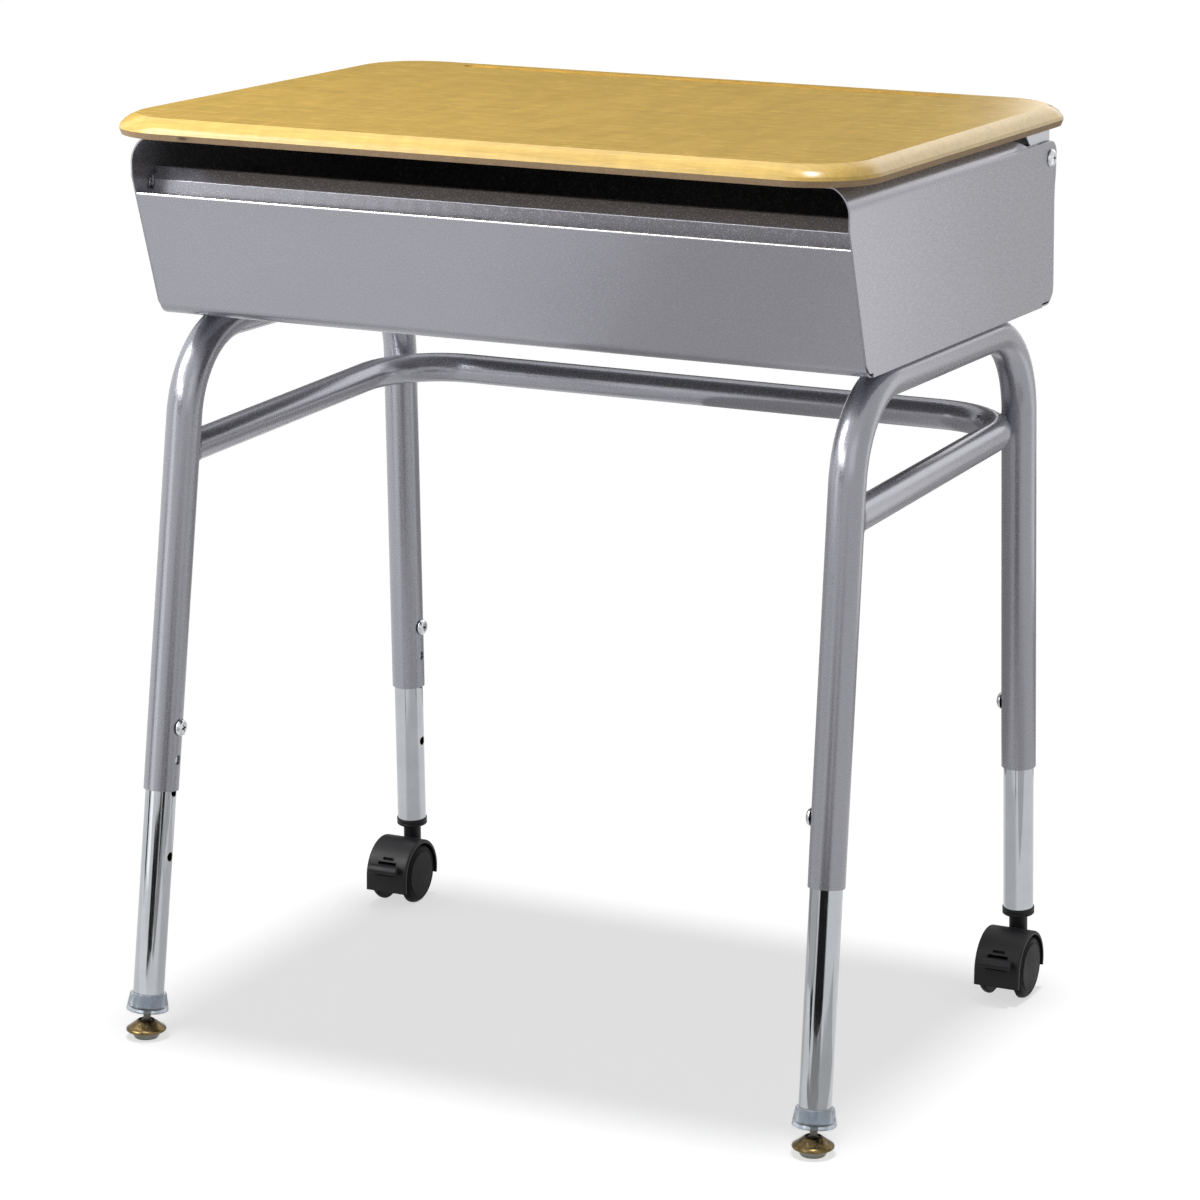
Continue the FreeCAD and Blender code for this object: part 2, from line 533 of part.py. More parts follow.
# ---- export -----------------------------------------------------------------------
os.makedirs("parts", exist_ok=True)
for node, shape in parts.items():
    if not shape.isValid() or not shape.Solids:
        raise ValueError(node + " is not a valid solid")
    shape.exportStep("parts/%s.step" % node)
    box = shape.BoundBox
    print("%-26s solids %2d  volume %10.1f  x %7.1f %7.1f  y %7.1f %7.1f  z %6.1f %6.1f" % (
        node, len(shape.Solids), shape.Volume, box.XMin, box.XMax, box.YMin, box.YMax,
        box.ZMin, box.ZMax))
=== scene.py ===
import json
import math

import bmesh
import bpy
import numpy as np
from mathutils import Matrix

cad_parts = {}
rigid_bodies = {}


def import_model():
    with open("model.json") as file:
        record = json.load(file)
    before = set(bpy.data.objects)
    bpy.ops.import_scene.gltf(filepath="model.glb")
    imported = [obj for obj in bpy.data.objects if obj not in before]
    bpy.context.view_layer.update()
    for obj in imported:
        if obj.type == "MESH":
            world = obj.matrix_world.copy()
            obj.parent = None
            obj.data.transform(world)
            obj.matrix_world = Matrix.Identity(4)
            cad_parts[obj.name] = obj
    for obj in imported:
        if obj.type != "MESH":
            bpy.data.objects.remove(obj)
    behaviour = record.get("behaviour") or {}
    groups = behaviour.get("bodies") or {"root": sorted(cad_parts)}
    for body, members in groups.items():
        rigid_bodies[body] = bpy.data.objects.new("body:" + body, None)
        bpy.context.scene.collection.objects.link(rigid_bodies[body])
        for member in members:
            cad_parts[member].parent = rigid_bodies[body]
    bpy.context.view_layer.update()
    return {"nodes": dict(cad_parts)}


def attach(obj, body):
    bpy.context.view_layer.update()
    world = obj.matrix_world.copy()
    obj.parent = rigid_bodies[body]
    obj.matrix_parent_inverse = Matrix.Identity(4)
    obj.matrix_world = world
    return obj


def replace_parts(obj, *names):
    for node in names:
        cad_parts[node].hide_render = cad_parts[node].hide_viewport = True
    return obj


bl_info = {
    "name": "School desk with lift lid",
    "version": (1, 0, 0),
    "blender": (4, 5, 0),
    "location": "3D View > Sidebar > Desk",
    "description": "Finishes the desk's steelwork, lid, glides and casters, and sets the stage",
    "category": "Object",
}

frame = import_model()
NODES = frame["nodes"]

# The front and rear legs' axes at the floor and at 0.5 m, right-hand side, in metres
LEG_AXES = {
    "front": (np.array([0.28195, -0.21116, 0.0]), np.array([0.27373, -0.15173, 0.5])),
    "rear": (np.array([0.27762, 0.21764, 0.0]), np.array([0.27377, 0.18790, 0.5])),
}
# Outer radii of the legs' sleeves, of their inserts and of the stretcher
SLEEVE_R, INSERT_R, STRETCHER_R = 0.0137, 0.0121, 0.0121
# How far an insert's hole rims sit inside its surface, so that they clear the sleeve
RIM_SUNK = 0.0002
# Heights of the leg screws, and how far below them an insert's lowest hole is
SCREW_Z = {"front": 0.2443, "rear": 0.2406}
HOLE_DROP = 0.1016
# Thickness of the box's sheet, the side sheets' outer face and the lid's pivot in y and z
SHEET = 0.0012
SIDE_X = 0.2903
PIVOT_Y, PIVOT_Z = 0.1976, 0.6756


def leg_axis(which, side, z):
    """Point of a leg's axis at height z; side is -1 on the left and 1 on the right."""
    low, high = LEG_AXES[which]
    point = low + (high - low) * (z / 0.5)
    return point * np.array([side, 1.0, 1.0])


def unit(v):
    v = np.asarray(v, float)
    return v / np.linalg.norm(v)


def leg_frame(which, side):
    """Unit vectors up a leg and, square to it, towards the middle of the desk."""
    up = unit(leg_axis(which, side, 0.5) - leg_axis(which, side, 0.0))
    toward = np.array([-side, 0.0, 0.0])
    return up, unit(toward - up * (toward @ up))


# ---- finishes ----------------------------------------------------------------------
class Finish:
    """Shorthand that builds one procedural material on Object coordinates."""

    def __init__(self, name, colour, rough, metal=0.0):
        self.mat = bpy.data.materials.new(name)
        self.mat.use_nodes = True
        self.tree = self.mat.node_tree
        self.tree.nodes.clear()
        self.out = self.add("ShaderNodeOutputMaterial")
        self.skin = self.add("ShaderNodeBsdfPrincipled", Roughness=rough, Metallic=metal)
        self.skin.inputs["Base Color"].default_value = (*colour, 1.0)
        self.join(self.skin, 0, self.out, "Surface")
        self.where = self.add("ShaderNodeTexCoord").outputs["Object"]
        self.mat.diffuse_color = (*colour, 1.0)

    def add(self, kind, **values):
        node = self.tree.nodes.new(kind)
        for key, value in values.items():
            key = key.replace("_", " ")
            if key in node.inputs:
                node.inputs[key].default_value = value
            else:
                setattr(node, key.replace(" ", "_"), value)
        return node

    def join(self, source, output, target, socket):
        start = source if output is None else source.outputs[output]
        self.tree.links.new(start, target.inputs[socket])

    def stretched(self, scale, turn=(0, 0, 0)):
        """Object coordinates stretched by scale, for grain and brushing."""
        node = self.add("ShaderNodeMapping")
        node.inputs["Scale"].default_value = scale
        node.inputs["Rotation"].default_value = turn
        self.join(self.where, None, node, "Vector")
        return node.outputs[0]

    def noise(self, scale, detail=4.0, rough=0.55, where=None):
        node = self.add("ShaderNodeTexNoise", Scale=scale, Detail=detail, Roughness=rough)
        self.join(where or self.where, None, node, "Vector")
        return node.outputs[0]

    def cells(self, scale, where=None, feature="F1"):
        node = self.add("ShaderNodeTexVoronoi", Scale=scale)
        node.feature = feature
        self.join(where or self.where, None, node, "Vector")
        return node.outputs["Distance"]

    def ramp(self, value, stops):
        """Colour ramp of (position, colour or grey level) stops."""
        node = self.add("ShaderNodeValToRGB")
        band = node.color_ramp
        while len(band.elements) < len(stops):
            band.elements.new(0.5)
        for element, (place, shade) in zip(band.elements, stops):
            element.position = place
            grey = (shade,) * 3 if np.isscalar(shade) else tuple(shade)
            element.color = (*grey, 1.0)
        self.join(value, None, node, "Fac")
        return node.outputs[0]

    def blend(self, amount, a, b, how="MIX"):
        """Mixes two colours; either may be a socket or a tuple."""
        node = self.add("ShaderNodeMix")
        node.data_type, node.blend_type = "RGBA", how
        for socket, value in ((0, amount), (6, a), (7, b)):
            if hasattr(value, "is_output"):
                self.tree.links.new(value, node.inputs[socket])
            elif socket == 0:
                node.inputs[0].default_value = value
            else:
                node.inputs[socket].default_value = (*value, 1.0)
        return node.outputs[2]

    def maths(self, how, a, b=0.0):
        node = self.add("ShaderNodeMath")
        node.operation = how
        for i, value in enumerate((a, b)):
            if hasattr(value, "is_output"):
                self.tree.links.new(value, node.inputs[i])
            else:
                node.inputs[i].default_value = value
        return node.outputs[0]

    def colour(self, value):
        self.join(value, None, self.skin, "Base Color")

    def roughness(self, value, low, high):
        node = self.add("ShaderNodeMapRange", From_Min=0.3, From_Max=0.7, To_Min=low, To_Max=high)
        self.join(value, None, node, "Value")
        self.join(node, 0, self.skin, "Roughness")

    def bump(self, height, depth, strength=1.0, rounding=0.0):
        """Bump of depth metres; rounding softens sharp edges by that radius."""
        node = self.add("ShaderNodeBump", Strength=strength, Distance=depth)
        self.join(height, None, node, "Height")
        if rounding:
            edge = self.add("ShaderNodeBevel", Radius=rounding)
            edge.samples = 4
            self.join(edge, 0, node, "Normal")
        self.join(node, 0, self.skin, "Normal")


def linear(r, g, b):
    """sRGB 0-255 to linear colour."""
    c = np.array([r, g, b]) / 255.0
    return tuple(np.where(c <= 0.04045, c / 12.92, ((c + 0.055) / 1.055) ** 2.4))


def shade(colour, factor):
    return tuple(c * factor for c in colour)


def maple_laminate(base):
    """Honey maple print: fine straight fibres along X, faint curl across them, short pores."""
    f = Finish("maple_laminate", base, 0.34)
    warp = f.noise(5.0, 2.0, 0.5)
    streak = f.noise(1.0, 6.0, 0.60, f.stretched((7.0, 120.0, 120.0)))
    fibre = f.noise(1.0, 5.0, 0.65, f.stretched((48.0, 760.0, 760.0)))
    curl = f.noise(1.0, 3.0, 0.5, f.stretched((95.0, 16.0, 16.0), (0, 0, 0.35)))
    pores = f.cells(1.0, f.stretched((62.0, 520.0, 520.0)))
    tone = f.ramp(streak, [(0.30, shade(base, 0.88)), (0.48, base), (0.60, shade(base, 1.05)),
                           (0.76, shade(base, 0.94))])
    tone = f.blend(0.42, tone, f.ramp(fibre, [(0.34, 0.72), (0.66, 1.22)]), "MULTIPLY")
    tone = f.blend(0.30, tone, f.ramp(curl, [(0.36, 0.80), (0.64, 1.14)]), "MULTIPLY")
    tone = f.blend(0.20, tone, f.ramp(warp, [(0.35, 0.86), (0.65, 1.08)]), "MULTIPLY")
    tone = f.blend(0.45, tone, f.ramp(pores, [(0.04, 0.58), (0.13, 1.0)]), "MULTIPLY")
    f.colour(tone)
    f.roughness(fibre, 0.19, 0.29)
    f.bump(f.noise(2400.0, 2.0), 0.00002, 0.5)
    return f.mat


def particleboard(base):
    """Bare sanded chips: fine light and dark grains, with one chipped spot at the front."""
    f = Finish("particleboard", base, 0.85)
    chips = f.cells(1.0, f.stretched((900.0, 900.0, 1500.0)))
    dust = f.noise(1900.0, 5.0, 0.7)
    clumps = f.noise(150.0, 4.0, 0.6)
    tone = f.ramp(chips, [(0.05, shade(base, 0.62)), (0.30, base), (0.62, shade(base, 1.25))])
    tone = f.blend(0.55, tone, f.ramp(dust, [(0.32, 0.62), (0.68, 1.30)]), "MULTIPLY")
    tone = f.blend(0.35, tone, f.ramp(clumps, [(0.35, 0.80), (0.65, 1.12)]), "MULTIPLY")
    spot = f.add("ShaderNodeVectorMath", operation="DISTANCE")
    f.join(f.stretched((1.0, 1.0, 3.2)), None, spot, 0)
    spot.inputs[1].default_value = (-0.2265, -0.2282, 0.7052 * 3.2)
    near = f.maths("ADD", spot.outputs["Value"], f.maths("MULTIPLY", dust, 0.003))
    tone = f.blend(1.0, tone, f.ramp(near, [(0.0042, 0.30), (0.0052, 1.0)]), "MULTIPLY")
    f.colour(tone)
    f.bump(chips, 0.00015, 0.5)
    return f.mat


def flaked(f, base, rough):
    """Gives a finish the powder coat's orange-peel skin and returns its flaked colour."""
    flake = f.cells(3000.0)
    cloud = f.noise(9.0, 3.0, 0.5)
    tone = f.ramp(flake, [(0.12, shade(base, 1.05)), (0.38, base), (0.75, shade(base, 0.98))])
    f.roughness(f.noise(900.0, 2.0), rough - 0.04, rough + 0.05)
    f.bump(f.noise(420.0, 2.0, 0.5), 0.00002, 0.09, 0.0006)
    return f.blend(0.5, tone, f.ramp(cloud, [(0.3, 0.96), (0.7, 1.04)]), "MULTIPLY")


def powder_coat(base, name="powder_coat", rough=0.25, metal=0.55):
    """Metallic silver powder coat: flake sparkle under a faint orange-peel skin."""
    f = Finish(name, base, rough, metal)
    f.colour(flaked(f, base, rough))
    return f.mat


def shell_coat(base):
    """Powder coat, with the rolled top edge of the front painted near-white and more metallic as a
    painted highlight.
    """
    f = Finish("shell_coat", base, 0.25, 0.55)
    tone = flaked(f, base, 0.25)
    place = f.add("ShaderNodeSeparateXYZ")
    f.join(f.where, None, place, "Vector")
    high = f.add("ShaderNodeMapRange", From_Min=0.6555, From_Max=0.6560)
    f.join(place, "Z", high, "Value")
    ahead = f.add("ShaderNodeMapRange", From_Min=-0.184, From_Max=-0.186)
    f.join(place, "Y", ahead, "Value")
    # Painted highlight: over the rolled top edge the colour turns near-white and the coat more
    # metallic.
    edge = f.maths("MULTIPLY", high.outputs[0], ahead.outputs[0])
    f.colour(f.blend(edge, tone, (0.92, 0.92, 0.94)))
    painted_highlight_metal = f.add("ShaderNodeMapRange", To_Min=0.55, To_Max=0.95)
    f.join(edge, None, painted_highlight_metal, "Value")
    f.join(painted_highlight_metal, 0, f.skin, "Metallic")
    return f.mat


def plated(name, base, rough, streaks=60.0, rounding=0.0004):
    """Plated steel: fine drawn lines in the roughness and a slight cloudiness."""
    f = Finish(name, base, rough, 1.0)
    drawn = f.noise(1.0, 4.0, 0.6, f.stretched((streaks * 9, streaks * 9, streaks)))
    cloud = f.noise(38.0, 4.0, 0.6)
    f.colour(f.blend(0.5, base, f.ramp(cloud, [(0.3, 0.86), (0.7, 1.06)]), "MULTIPLY"))
    f.roughness(drawn, max(rough - 0.03, 0.02), rough + 0.07)
    f.bump(drawn, 0.00002, 0.3, rounding)
    return f.mat


def zinc_plate(settings):
    """Bright zinc on the screws, painted darker in their crosses by ambient occlusion: painted
    shade.
    """
    base = linear(206, 208, 212)
    f = Finish("zinc", base, 0.24, 1.0)
    # Painted shade: ambient occlusion darkens the colour in crosses and other recesses.
    deep = f.add("ShaderNodeAmbientOcclusion", Distance=0.0024)
    drawn = f.noise(1.0, 4.0, 0.6, f.stretched((540.0, 540.0, 60.0)))
    tone = f.ramp(deep.outputs["AO"], [(0.30, 0.03), (0.72, base)])
    f.colour(f.blend(0.5, tone, f.ramp(drawn, [(0.3, 0.86), (0.7, 1.06)]), "MULTIPLY"))
    f.roughness(drawn, 0.20, 0.32)
    return f.mat


def moulded(name, base, rough, grain=0.00005, rounding=0.0006, gloss=0.5):
    """Moulded plastic with a fine spark-eroded grain and faint scuffs."""
    f = Finish(name, base, rough)
    f.skin.inputs["Specular IOR Level"].default_value = gloss
    spark = f.noise(2100.0, 4.0, 0.6)
    scuff = f.noise(60.0, 5.0, 0.65)
    f.colour(f.blend(0.5, base, f.ramp(scuff, [(0.35, 0.80), (0.65, 1.25)]), "MULTIPLY"))
    f.roughness(scuff, rough - 0.05, rough + 0.08)
    f.bump(spark, grain, 0.6, rounding)
    return f.mat


def clear_cup(base):
    """Bluish see-through polyethylene, cloudy with upright streaks from its mould."""
    f = Finish("clear_plastic", base, 0.12)
    f.skin.inputs["Transmission Weight"].default_value = 0.86
    f.skin.inputs["IOR"].default_value = 1.45
    haze = f.noise(1.0, 5.0, 0.65, f.stretched((420.0, 420.0, 60.0)))
    f.colour(f.ramp(haze, [(0.3, shade(base, 0.72)), (0.7, shade(base, 1.06))]))
    f.roughness(haze, 0.06, 0.24)
    f.bump(f.noise(1.0, 3.0, 0.5, f.stretched((500.0, 500.0, 90.0))), 0.00012, 0.6, 0.0005)
    return f.mat


def antique_brass(base):
    """Brass-plated bell cap, darker in patches where the plating has toned."""
    f = Finish("antique_brass", base, 0.27, 1.0)
    patina = f.noise(150.0, 6.0, 0.65)
    f.colour(f.ramp(patina, [(0.32, shade(base, 0.42)), (0.52, base), (0.70, shade(base, 1.35))]))
    f.roughness(patina, 0.18, 0.38)
    f.bump(f.noise(900.0, 3.0), 0.00004, 0.5)
    return f.mat


class DeskFinish(bpy.types.PropertyGroup):
    laminate: bpy.props.FloatVectorProperty(
        name="Laminate", description="Maple print of the lid", subtype="COLOR",
        default=linear(225, 187, 95), size=3, min=0, max=1)
    board: bpy.props.FloatVectorProperty(
        name="Board edge", description="Bare particleboard", subtype="COLOR",
        default=linear(178, 150, 116), size=3, min=0, max=1)
    steel: bpy.props.FloatVectorProperty(
        name="Powder coat", description="Box, side frames and stretcher", subtype="COLOR",
        default=linear(166, 166, 174), size=3, min=0, max=1)
    channel: bpy.props.FloatVectorProperty(
        name="Hinge channel", description="Light grey channel under the lid", subtype="COLOR",
        default=linear(214, 216, 222), size=3, min=0, max=1)
    plastic: bpy.props.FloatVectorProperty(
        name="Caster plastic", description="Black nylon of the casters", subtype="COLOR",
        default=linear(21, 21, 24), size=3, min=0, max=1)
    cup: bpy.props.FloatVectorProperty(
        name="Glide cup", description="Bluish clear plastic", subtype="COLOR",
        default=linear(222, 230, 238), size=3, min=0, max=1)
    brass: bpy.props.FloatVectorProperty(
        name="Glide cap", description="Aged brass", subtype="COLOR",
        default=linear(112, 94, 62), size=3, min=0, max=1)


class DeskStage(bpy.types.PropertyGroup):
    lens: bpy.props.FloatProperty(
        name="Lens", description="Focal length on a 36 mm sensor", default=130.461, unit="CAMERA")
    key_power: bpy.props.FloatProperty(
        name="Key light", description="Soft box at the left front", default=34.0, unit="POWER")
    side_power: bpy.props.FloatProperty(
        name="Side light", description="Soft box at the right front", default=1.6, unit="POWER")
    bevel_power: bpy.props.FloatProperty(
        name="Bevel light", description="Low lamp at the front that only the lid's face takes",
        default=0.9, unit="POWER")
    overhead: bpy.props.FloatProperty(
        name="Overhead light", description="Strength of the light straight above", default=1.35,
        min=0.0)
    fill: bpy.props.FloatProperty(
        name="Fill", description="Light from the white surroundings", default=0.17, min=0.0)
    floor: bpy.props.FloatProperty(
        name="Floor", description="Paleness of the floor", default=0.60, min=0.0, max=1.0,
        subtype="FACTOR")
    shadow: bpy.props.FloatProperty(
        name="Shadow", description="How much of the floor's white comes from the lamps",
        default=0.66, min=0.0, max=1.0, subtype="FACTOR")


# ---- mesh code ---------------------------------------------------------------------
def new_piece(name, verts, faces, body, *mats):
    """Piece from an array of points and a list of faces, riding on a body. Doubled points are
    merged, so that poles and seams close, and the faces are turned outwards."""
    shell = bmesh.new()
    mesh = bpy.data.meshes.new(name)
    mesh.from_pydata(np.asarray(verts, float).tolist(), [], [list(map(int, f)) for f in faces])
    shell.from_mesh(mesh)
    bmesh.ops.remove_doubles(shell, verts=shell.verts, dist=2e-6)
    bmesh.ops.dissolve_degenerate(shell, edges=shell.edges, dist=1e-6)
    bmesh.ops.recalc_face_normals(shell, faces=shell.faces)
    shell.to_mesh(mesh)
    shell.free()
    mesh.polygons.foreach_set("use_smooth", np.ones(len(mesh.polygons), bool))
    for mat in mats:
        mesh.materials.append(mat)
    piece = bpy.data.objects.new(name, mesh)
    bpy.context.scene.collection.objects.link(piece)
    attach(piece, body)
    return piece


def crisp(piece, angle=32.0):
    """Keeps a piece's sharp edges sharp and its flats flat."""
    split = piece.modifiers.new("edges", "EDGE_SPLIT")
    split.split_angle = math.radians(angle)
    even = piece.modifiers.new("normals", "WEIGHTED_NORMAL")
    even.mode, even.weight, even.keep_sharp = "FACE_AREA", 90, True
    return piece


def joined(*shapes):
    """Several (points, faces) as one."""
    verts, faces, start = [], [], 0
    for points, some in shapes:
        verts.append(points)
        faces += [[start + i for i in f] for f in some]
        start += len(points)
    return np.concatenate(verts), faces


def soft_step(t):
    t = np.clip(t, 0.0, 1.0)
    return t * t * (3.0 - 2.0 * t)


def rounded_line(corners, radii, steps=7):
    """Line through the corners, each replaced by its arc: with the corner at p and unit vectors
    a and b towards its neighbours, the arc's centre lies r / sin(half angle) along a + b."""
    corners = np.asarray(corners, float)
    out = [corners[:1]]
    for i in range(1, len(corners) - 1):
        p, r = corners[i], radii[i]
        a, b = unit(corners[i - 1] - p), unit(corners[i + 1] - p)
        if r <= 0:
            out.append(p[None])
            continue
        half = 0.5 * math.acos(np.clip(a @ b, -1, 1))
        mid = p + unit(a + b) * r / math.sin(half)
        start, stop = p + a * r / math.tan(half) - mid, p + b * r / math.tan(half) - mid
        sweep = math.acos(np.clip(start @ stop / r ** 2, -1, 1))
        t = np.linspace(0, 1, steps)[:, None]
        out.append(mid + (np.sin((1 - t) * sweep) * start + np.sin(t * sweep) * stop)
                   / math.sin(sweep))
    out.append(corners[-1:])
    return np.concatenate(out)


def sheet_loop(line, thick):
    """Closed outline of a bent sheet: the line, then the line moved by thick along the mean of
    its two neighbouring normals, backwards."""
    step = np.diff(line, axis=0)
    square = np.stack([step[:, 1], -step[:, 0]], -1)
    square /= np.linalg.norm(square, axis=1, keepdims=True)
    mean = np.concatenate([square[:1], square[:-1] + square[1:], square[-1:]])
    mean /= np.linalg.norm(mean, axis=1, keepdims=True)
    return np.concatenate([line, (line + mean * thick)[::-1]])


def carried(x, loops):
    """Closed outlines in Y and Z, one for each x, joined along X and closed at both ends."""
    columns = loops.shape[1]
    grid = np.empty((len(x), columns, 3))
    grid[..., 0], grid[..., 1:] = x[:, None], loops
    ring = list(range(columns))
    faces = grid_faces(len(x), columns).tolist()
    faces += [ring, [i + (len(x) - 1) * columns for i in ring]]
    return grid.reshape(-1, 3), faces


def bead(path, r, ripple=0.14, waves=9.0, sides=14, closed=False):
    """Weld bead: a tube round the path whose radius is r (1 + ripple (sin(waves s) + 0.6
    sin(2.7 waves s + 3 t) + 0.5 sin(1.7 waves s - 2 t))), s from 0 to 2 pi along it and t round
    it, and which closes to a point at each end unless it is a ring."""
    path = np.asarray(path, float)
    if closed:
        ahead = np.roll(path, -1, 0) - np.roll(path, 1, 0)
    else:
        ahead = np.gradient(path, axis=0)
    ahead /= np.linalg.norm(ahead, axis=1, keepdims=True)
    seed = unit(np.cross(ahead[0], (0.3, 0.2, 0.93)))
    u = seed - ahead * (ahead @ seed)[:, None]
    u /= np.linalg.norm(u, axis=1, keepdims=True)
    v = np.cross(ahead, u)
    s = np.linspace(0, 2 * np.pi, len(path), endpoint=not closed)[:, None]
    t = np.linspace(0, 2 * np.pi, sides, endpoint=False)[None]
    size = 1 + ripple * (np.sin(waves * s) + 0.6 * np.sin(2.7 * waves * s + 3 * t)
                         + 0.5 * np.sin(1.7 * waves * s - 2 * t))
    if not closed:
        reach = np.linspace(-1, 1, len(path))[:, None]
        size = size * np.sqrt(np.clip(1 - reach ** 8, 0, 1))
    ring = np.cos(t)[..., None] * u[:, None] + np.sin(t)[..., None] * v[:, None]
    points = path[:, None] + r * size[..., None] * ring
    faces = grid_faces(len(path), sides)
    if closed:
        last = (len(path) - 1) * sides
        a = np.arange(sides)
        b = (a + 1) % sides
        faces = np.concatenate([faces, np.stack([last + a, last + b, b, a], -1)])
    return points.reshape(-1, 3), faces


def cross_head(profile, head_r, height, origin, axis, turn):
    """Turned screw with a cross recess. Inside head_r the turned height falls by
    deep * max(arm along a, arm along b), where an arm is soft_step of the distance inside a
    bar of half width `width` that narrows outwards and ends at `arm`."""
    arm, width, deep = 0.0031, 0.00085, 0.0020
    rows = np.linspace(0, arm * 1.25, 22)
    dome = height - (height * 0.10) * (rows / head_r) ** 2
    profile = np.concatenate([np.stack([rows, dome], -1), profile])
    points, faces = turned(profile, (0, 0, 0), (0, 0, 1), 96)
    a = points[:, 0] * math.cos(turn) + points[:, 1] * math.sin(turn)
    b = points[:, 1] * math.cos(turn) - points[:, 0] * math.sin(turn)
    cut = np.zeros(len(points))
    for p, q in ((a, b), (b, a)):
        half = width * (1.0 - 0.30 * np.abs(p) / arm)
        across_bar = soft_step((half - np.abs(q)) / 0.00030)
        along_bar = soft_step((arm - np.abs(p)) / 0.00050)
        cut = np.maximum(cut, across_bar * along_bar)
    cut[points[:, 2] < height * 0.6] = 0.0
    points[:, 2] -= cut * deep
    u, v = side_basis(axis)
    grid = np.stack([u, v, unit(axis)])
    return np.asarray(origin) + points @ grid, faces


def grid_faces(rows, columns, wrap=True):
    """Quads between neighbouring rows of a grid; wrap closes each row on itself."""
    r, c = np.meshgrid(np.arange(rows - 1), np.arange(columns if wrap else columns - 1),
                       indexing="ij")
    a = r * columns + c
    b = r * columns + (c + 1) % columns
    return np.stack([a, b, b + columns, a + columns], -1).reshape(-1, 4)


def side_basis(direction):
    """Two unit vectors square to a direction."""
    d = unit(direction)
    seed = np.array([1.0, 0.0, 0.0]) if abs(d[0]) < 0.8 else np.array([0.0, 1.0, 0.0])
    u = unit(np.cross(seed, d))
    return u, np.cross(d, u)


def turned(profile, origin, axis, sides=48):
    """Surface of revolution: point = origin + axis * h + r * (u cos t + v sin t)."""
    profile = np.asarray(profile, float)
    u, v = side_basis(axis)
    t = np.linspace(0, 2 * np.pi, sides, endpoint=False)
    ring = np.cos(t)[:, None] * u + np.sin(t)[:, None] * v
    points = (np.asarray(origin) + profile[:, 1, None, None] * unit(axis)
              + profile[:, 0, None, None] * ring)
    return points.reshape(-1, 3), grid_faces(len(profile), sides)


def smooth_node(name, angle=32.0):
    """Merges a CAD node's loose triangles, splits its sharp edges and shades the rest smooth,
    with the larger faces holding the normals so that flat sheet stays flat."""
    piece = NODES[name]
    piece.data.polygons.foreach_set("use_smooth", np.ones(len(piece.data.polygons), bool))
    weld = piece.modifiers.new("merge", "WELD")
    weld.merge_threshold = 1e-5
    return crisp(piece, angle)


def dress(names, mat, angle=32.0):
    """Puts one finish on several CAD nodes."""
    for name in names:
        piece = smooth_node(name, angle)
        piece.data.materials.clear()
        piece.data.materials.append(mat)


# Radius and start of the side sheets' roll, the tighter radius of its last third and the
# height it ends at, and the screws' outlines outside their crosses
CURL_R, CURL_Z, LIP_R, RIM_TOP = 0.0224, 0.6800, 0.0080, 0.7005
LOCK_PROFILE = [(0.0046, 0.00322), (0.0056, 0.00268), (0.0063, 0.0018), (0.0067, 0.0009),
                (0.00675, 0.0003), (0.0066, 0.0), (0.0030, 0.0), (0.0030, -0.0013), (0.0, -0.0013)]
PIVOT_PROFILE = [(0.0046, 0.00330), (0.0057, 0.00275), (0.0064, 0.0019), (0.0068, 0.0009),
                 (0.0069, 0.0003), (0.0067, 0.0), (0.0040, 0.0), (0.0040, -0.0051),
                 (0.00295, -0.0051), (0.00295, -0.0124), (0.0024, -0.0130), (0.0, -0.0130)]
MADE = {}


def finish_of(context, key, build):
    """Builds a finish once and keeps it for the other operators."""
    if key not in MADE:
        MADE[key] = build(context.scene.desk_finish)
    return MADE[key]


def weld_finish(context):
    return finish_of(context, "weld", lambda s: powder_coat(
        shade(s.steel, 0.82), "weld_coat", 0.26, 0.6))


def nylon_finish(context):
    return finish_of(context, "nylon", lambda s: moulded("nylon", linear(206, 204, 196), 0.42))


# ---- operators ---------------------------------------------------------------------
class DESK_OT_lid(bpy.types.Operator):
    """Finishes the laminate face, the bare board edge and the backing sheet"""
    bl_idname = "desk.lid"
    bl_label = "Lid"

    def execute(self, context):
        maple = finish_of(context, "maple", lambda s: maple_laminate(s.laminate))
        board = finish_of(context, "board", lambda s: particleboard(s.board))
        dress(["lid_face"], maple, 16.5)
        dress(["lid_core"], board)
        dress(["lid_backer"], finish_of(context, "backer", lambda s: moulded(
            "backing_sheet", linear(184, 160, 128), 0.5)))
        return {"FINISHED"}


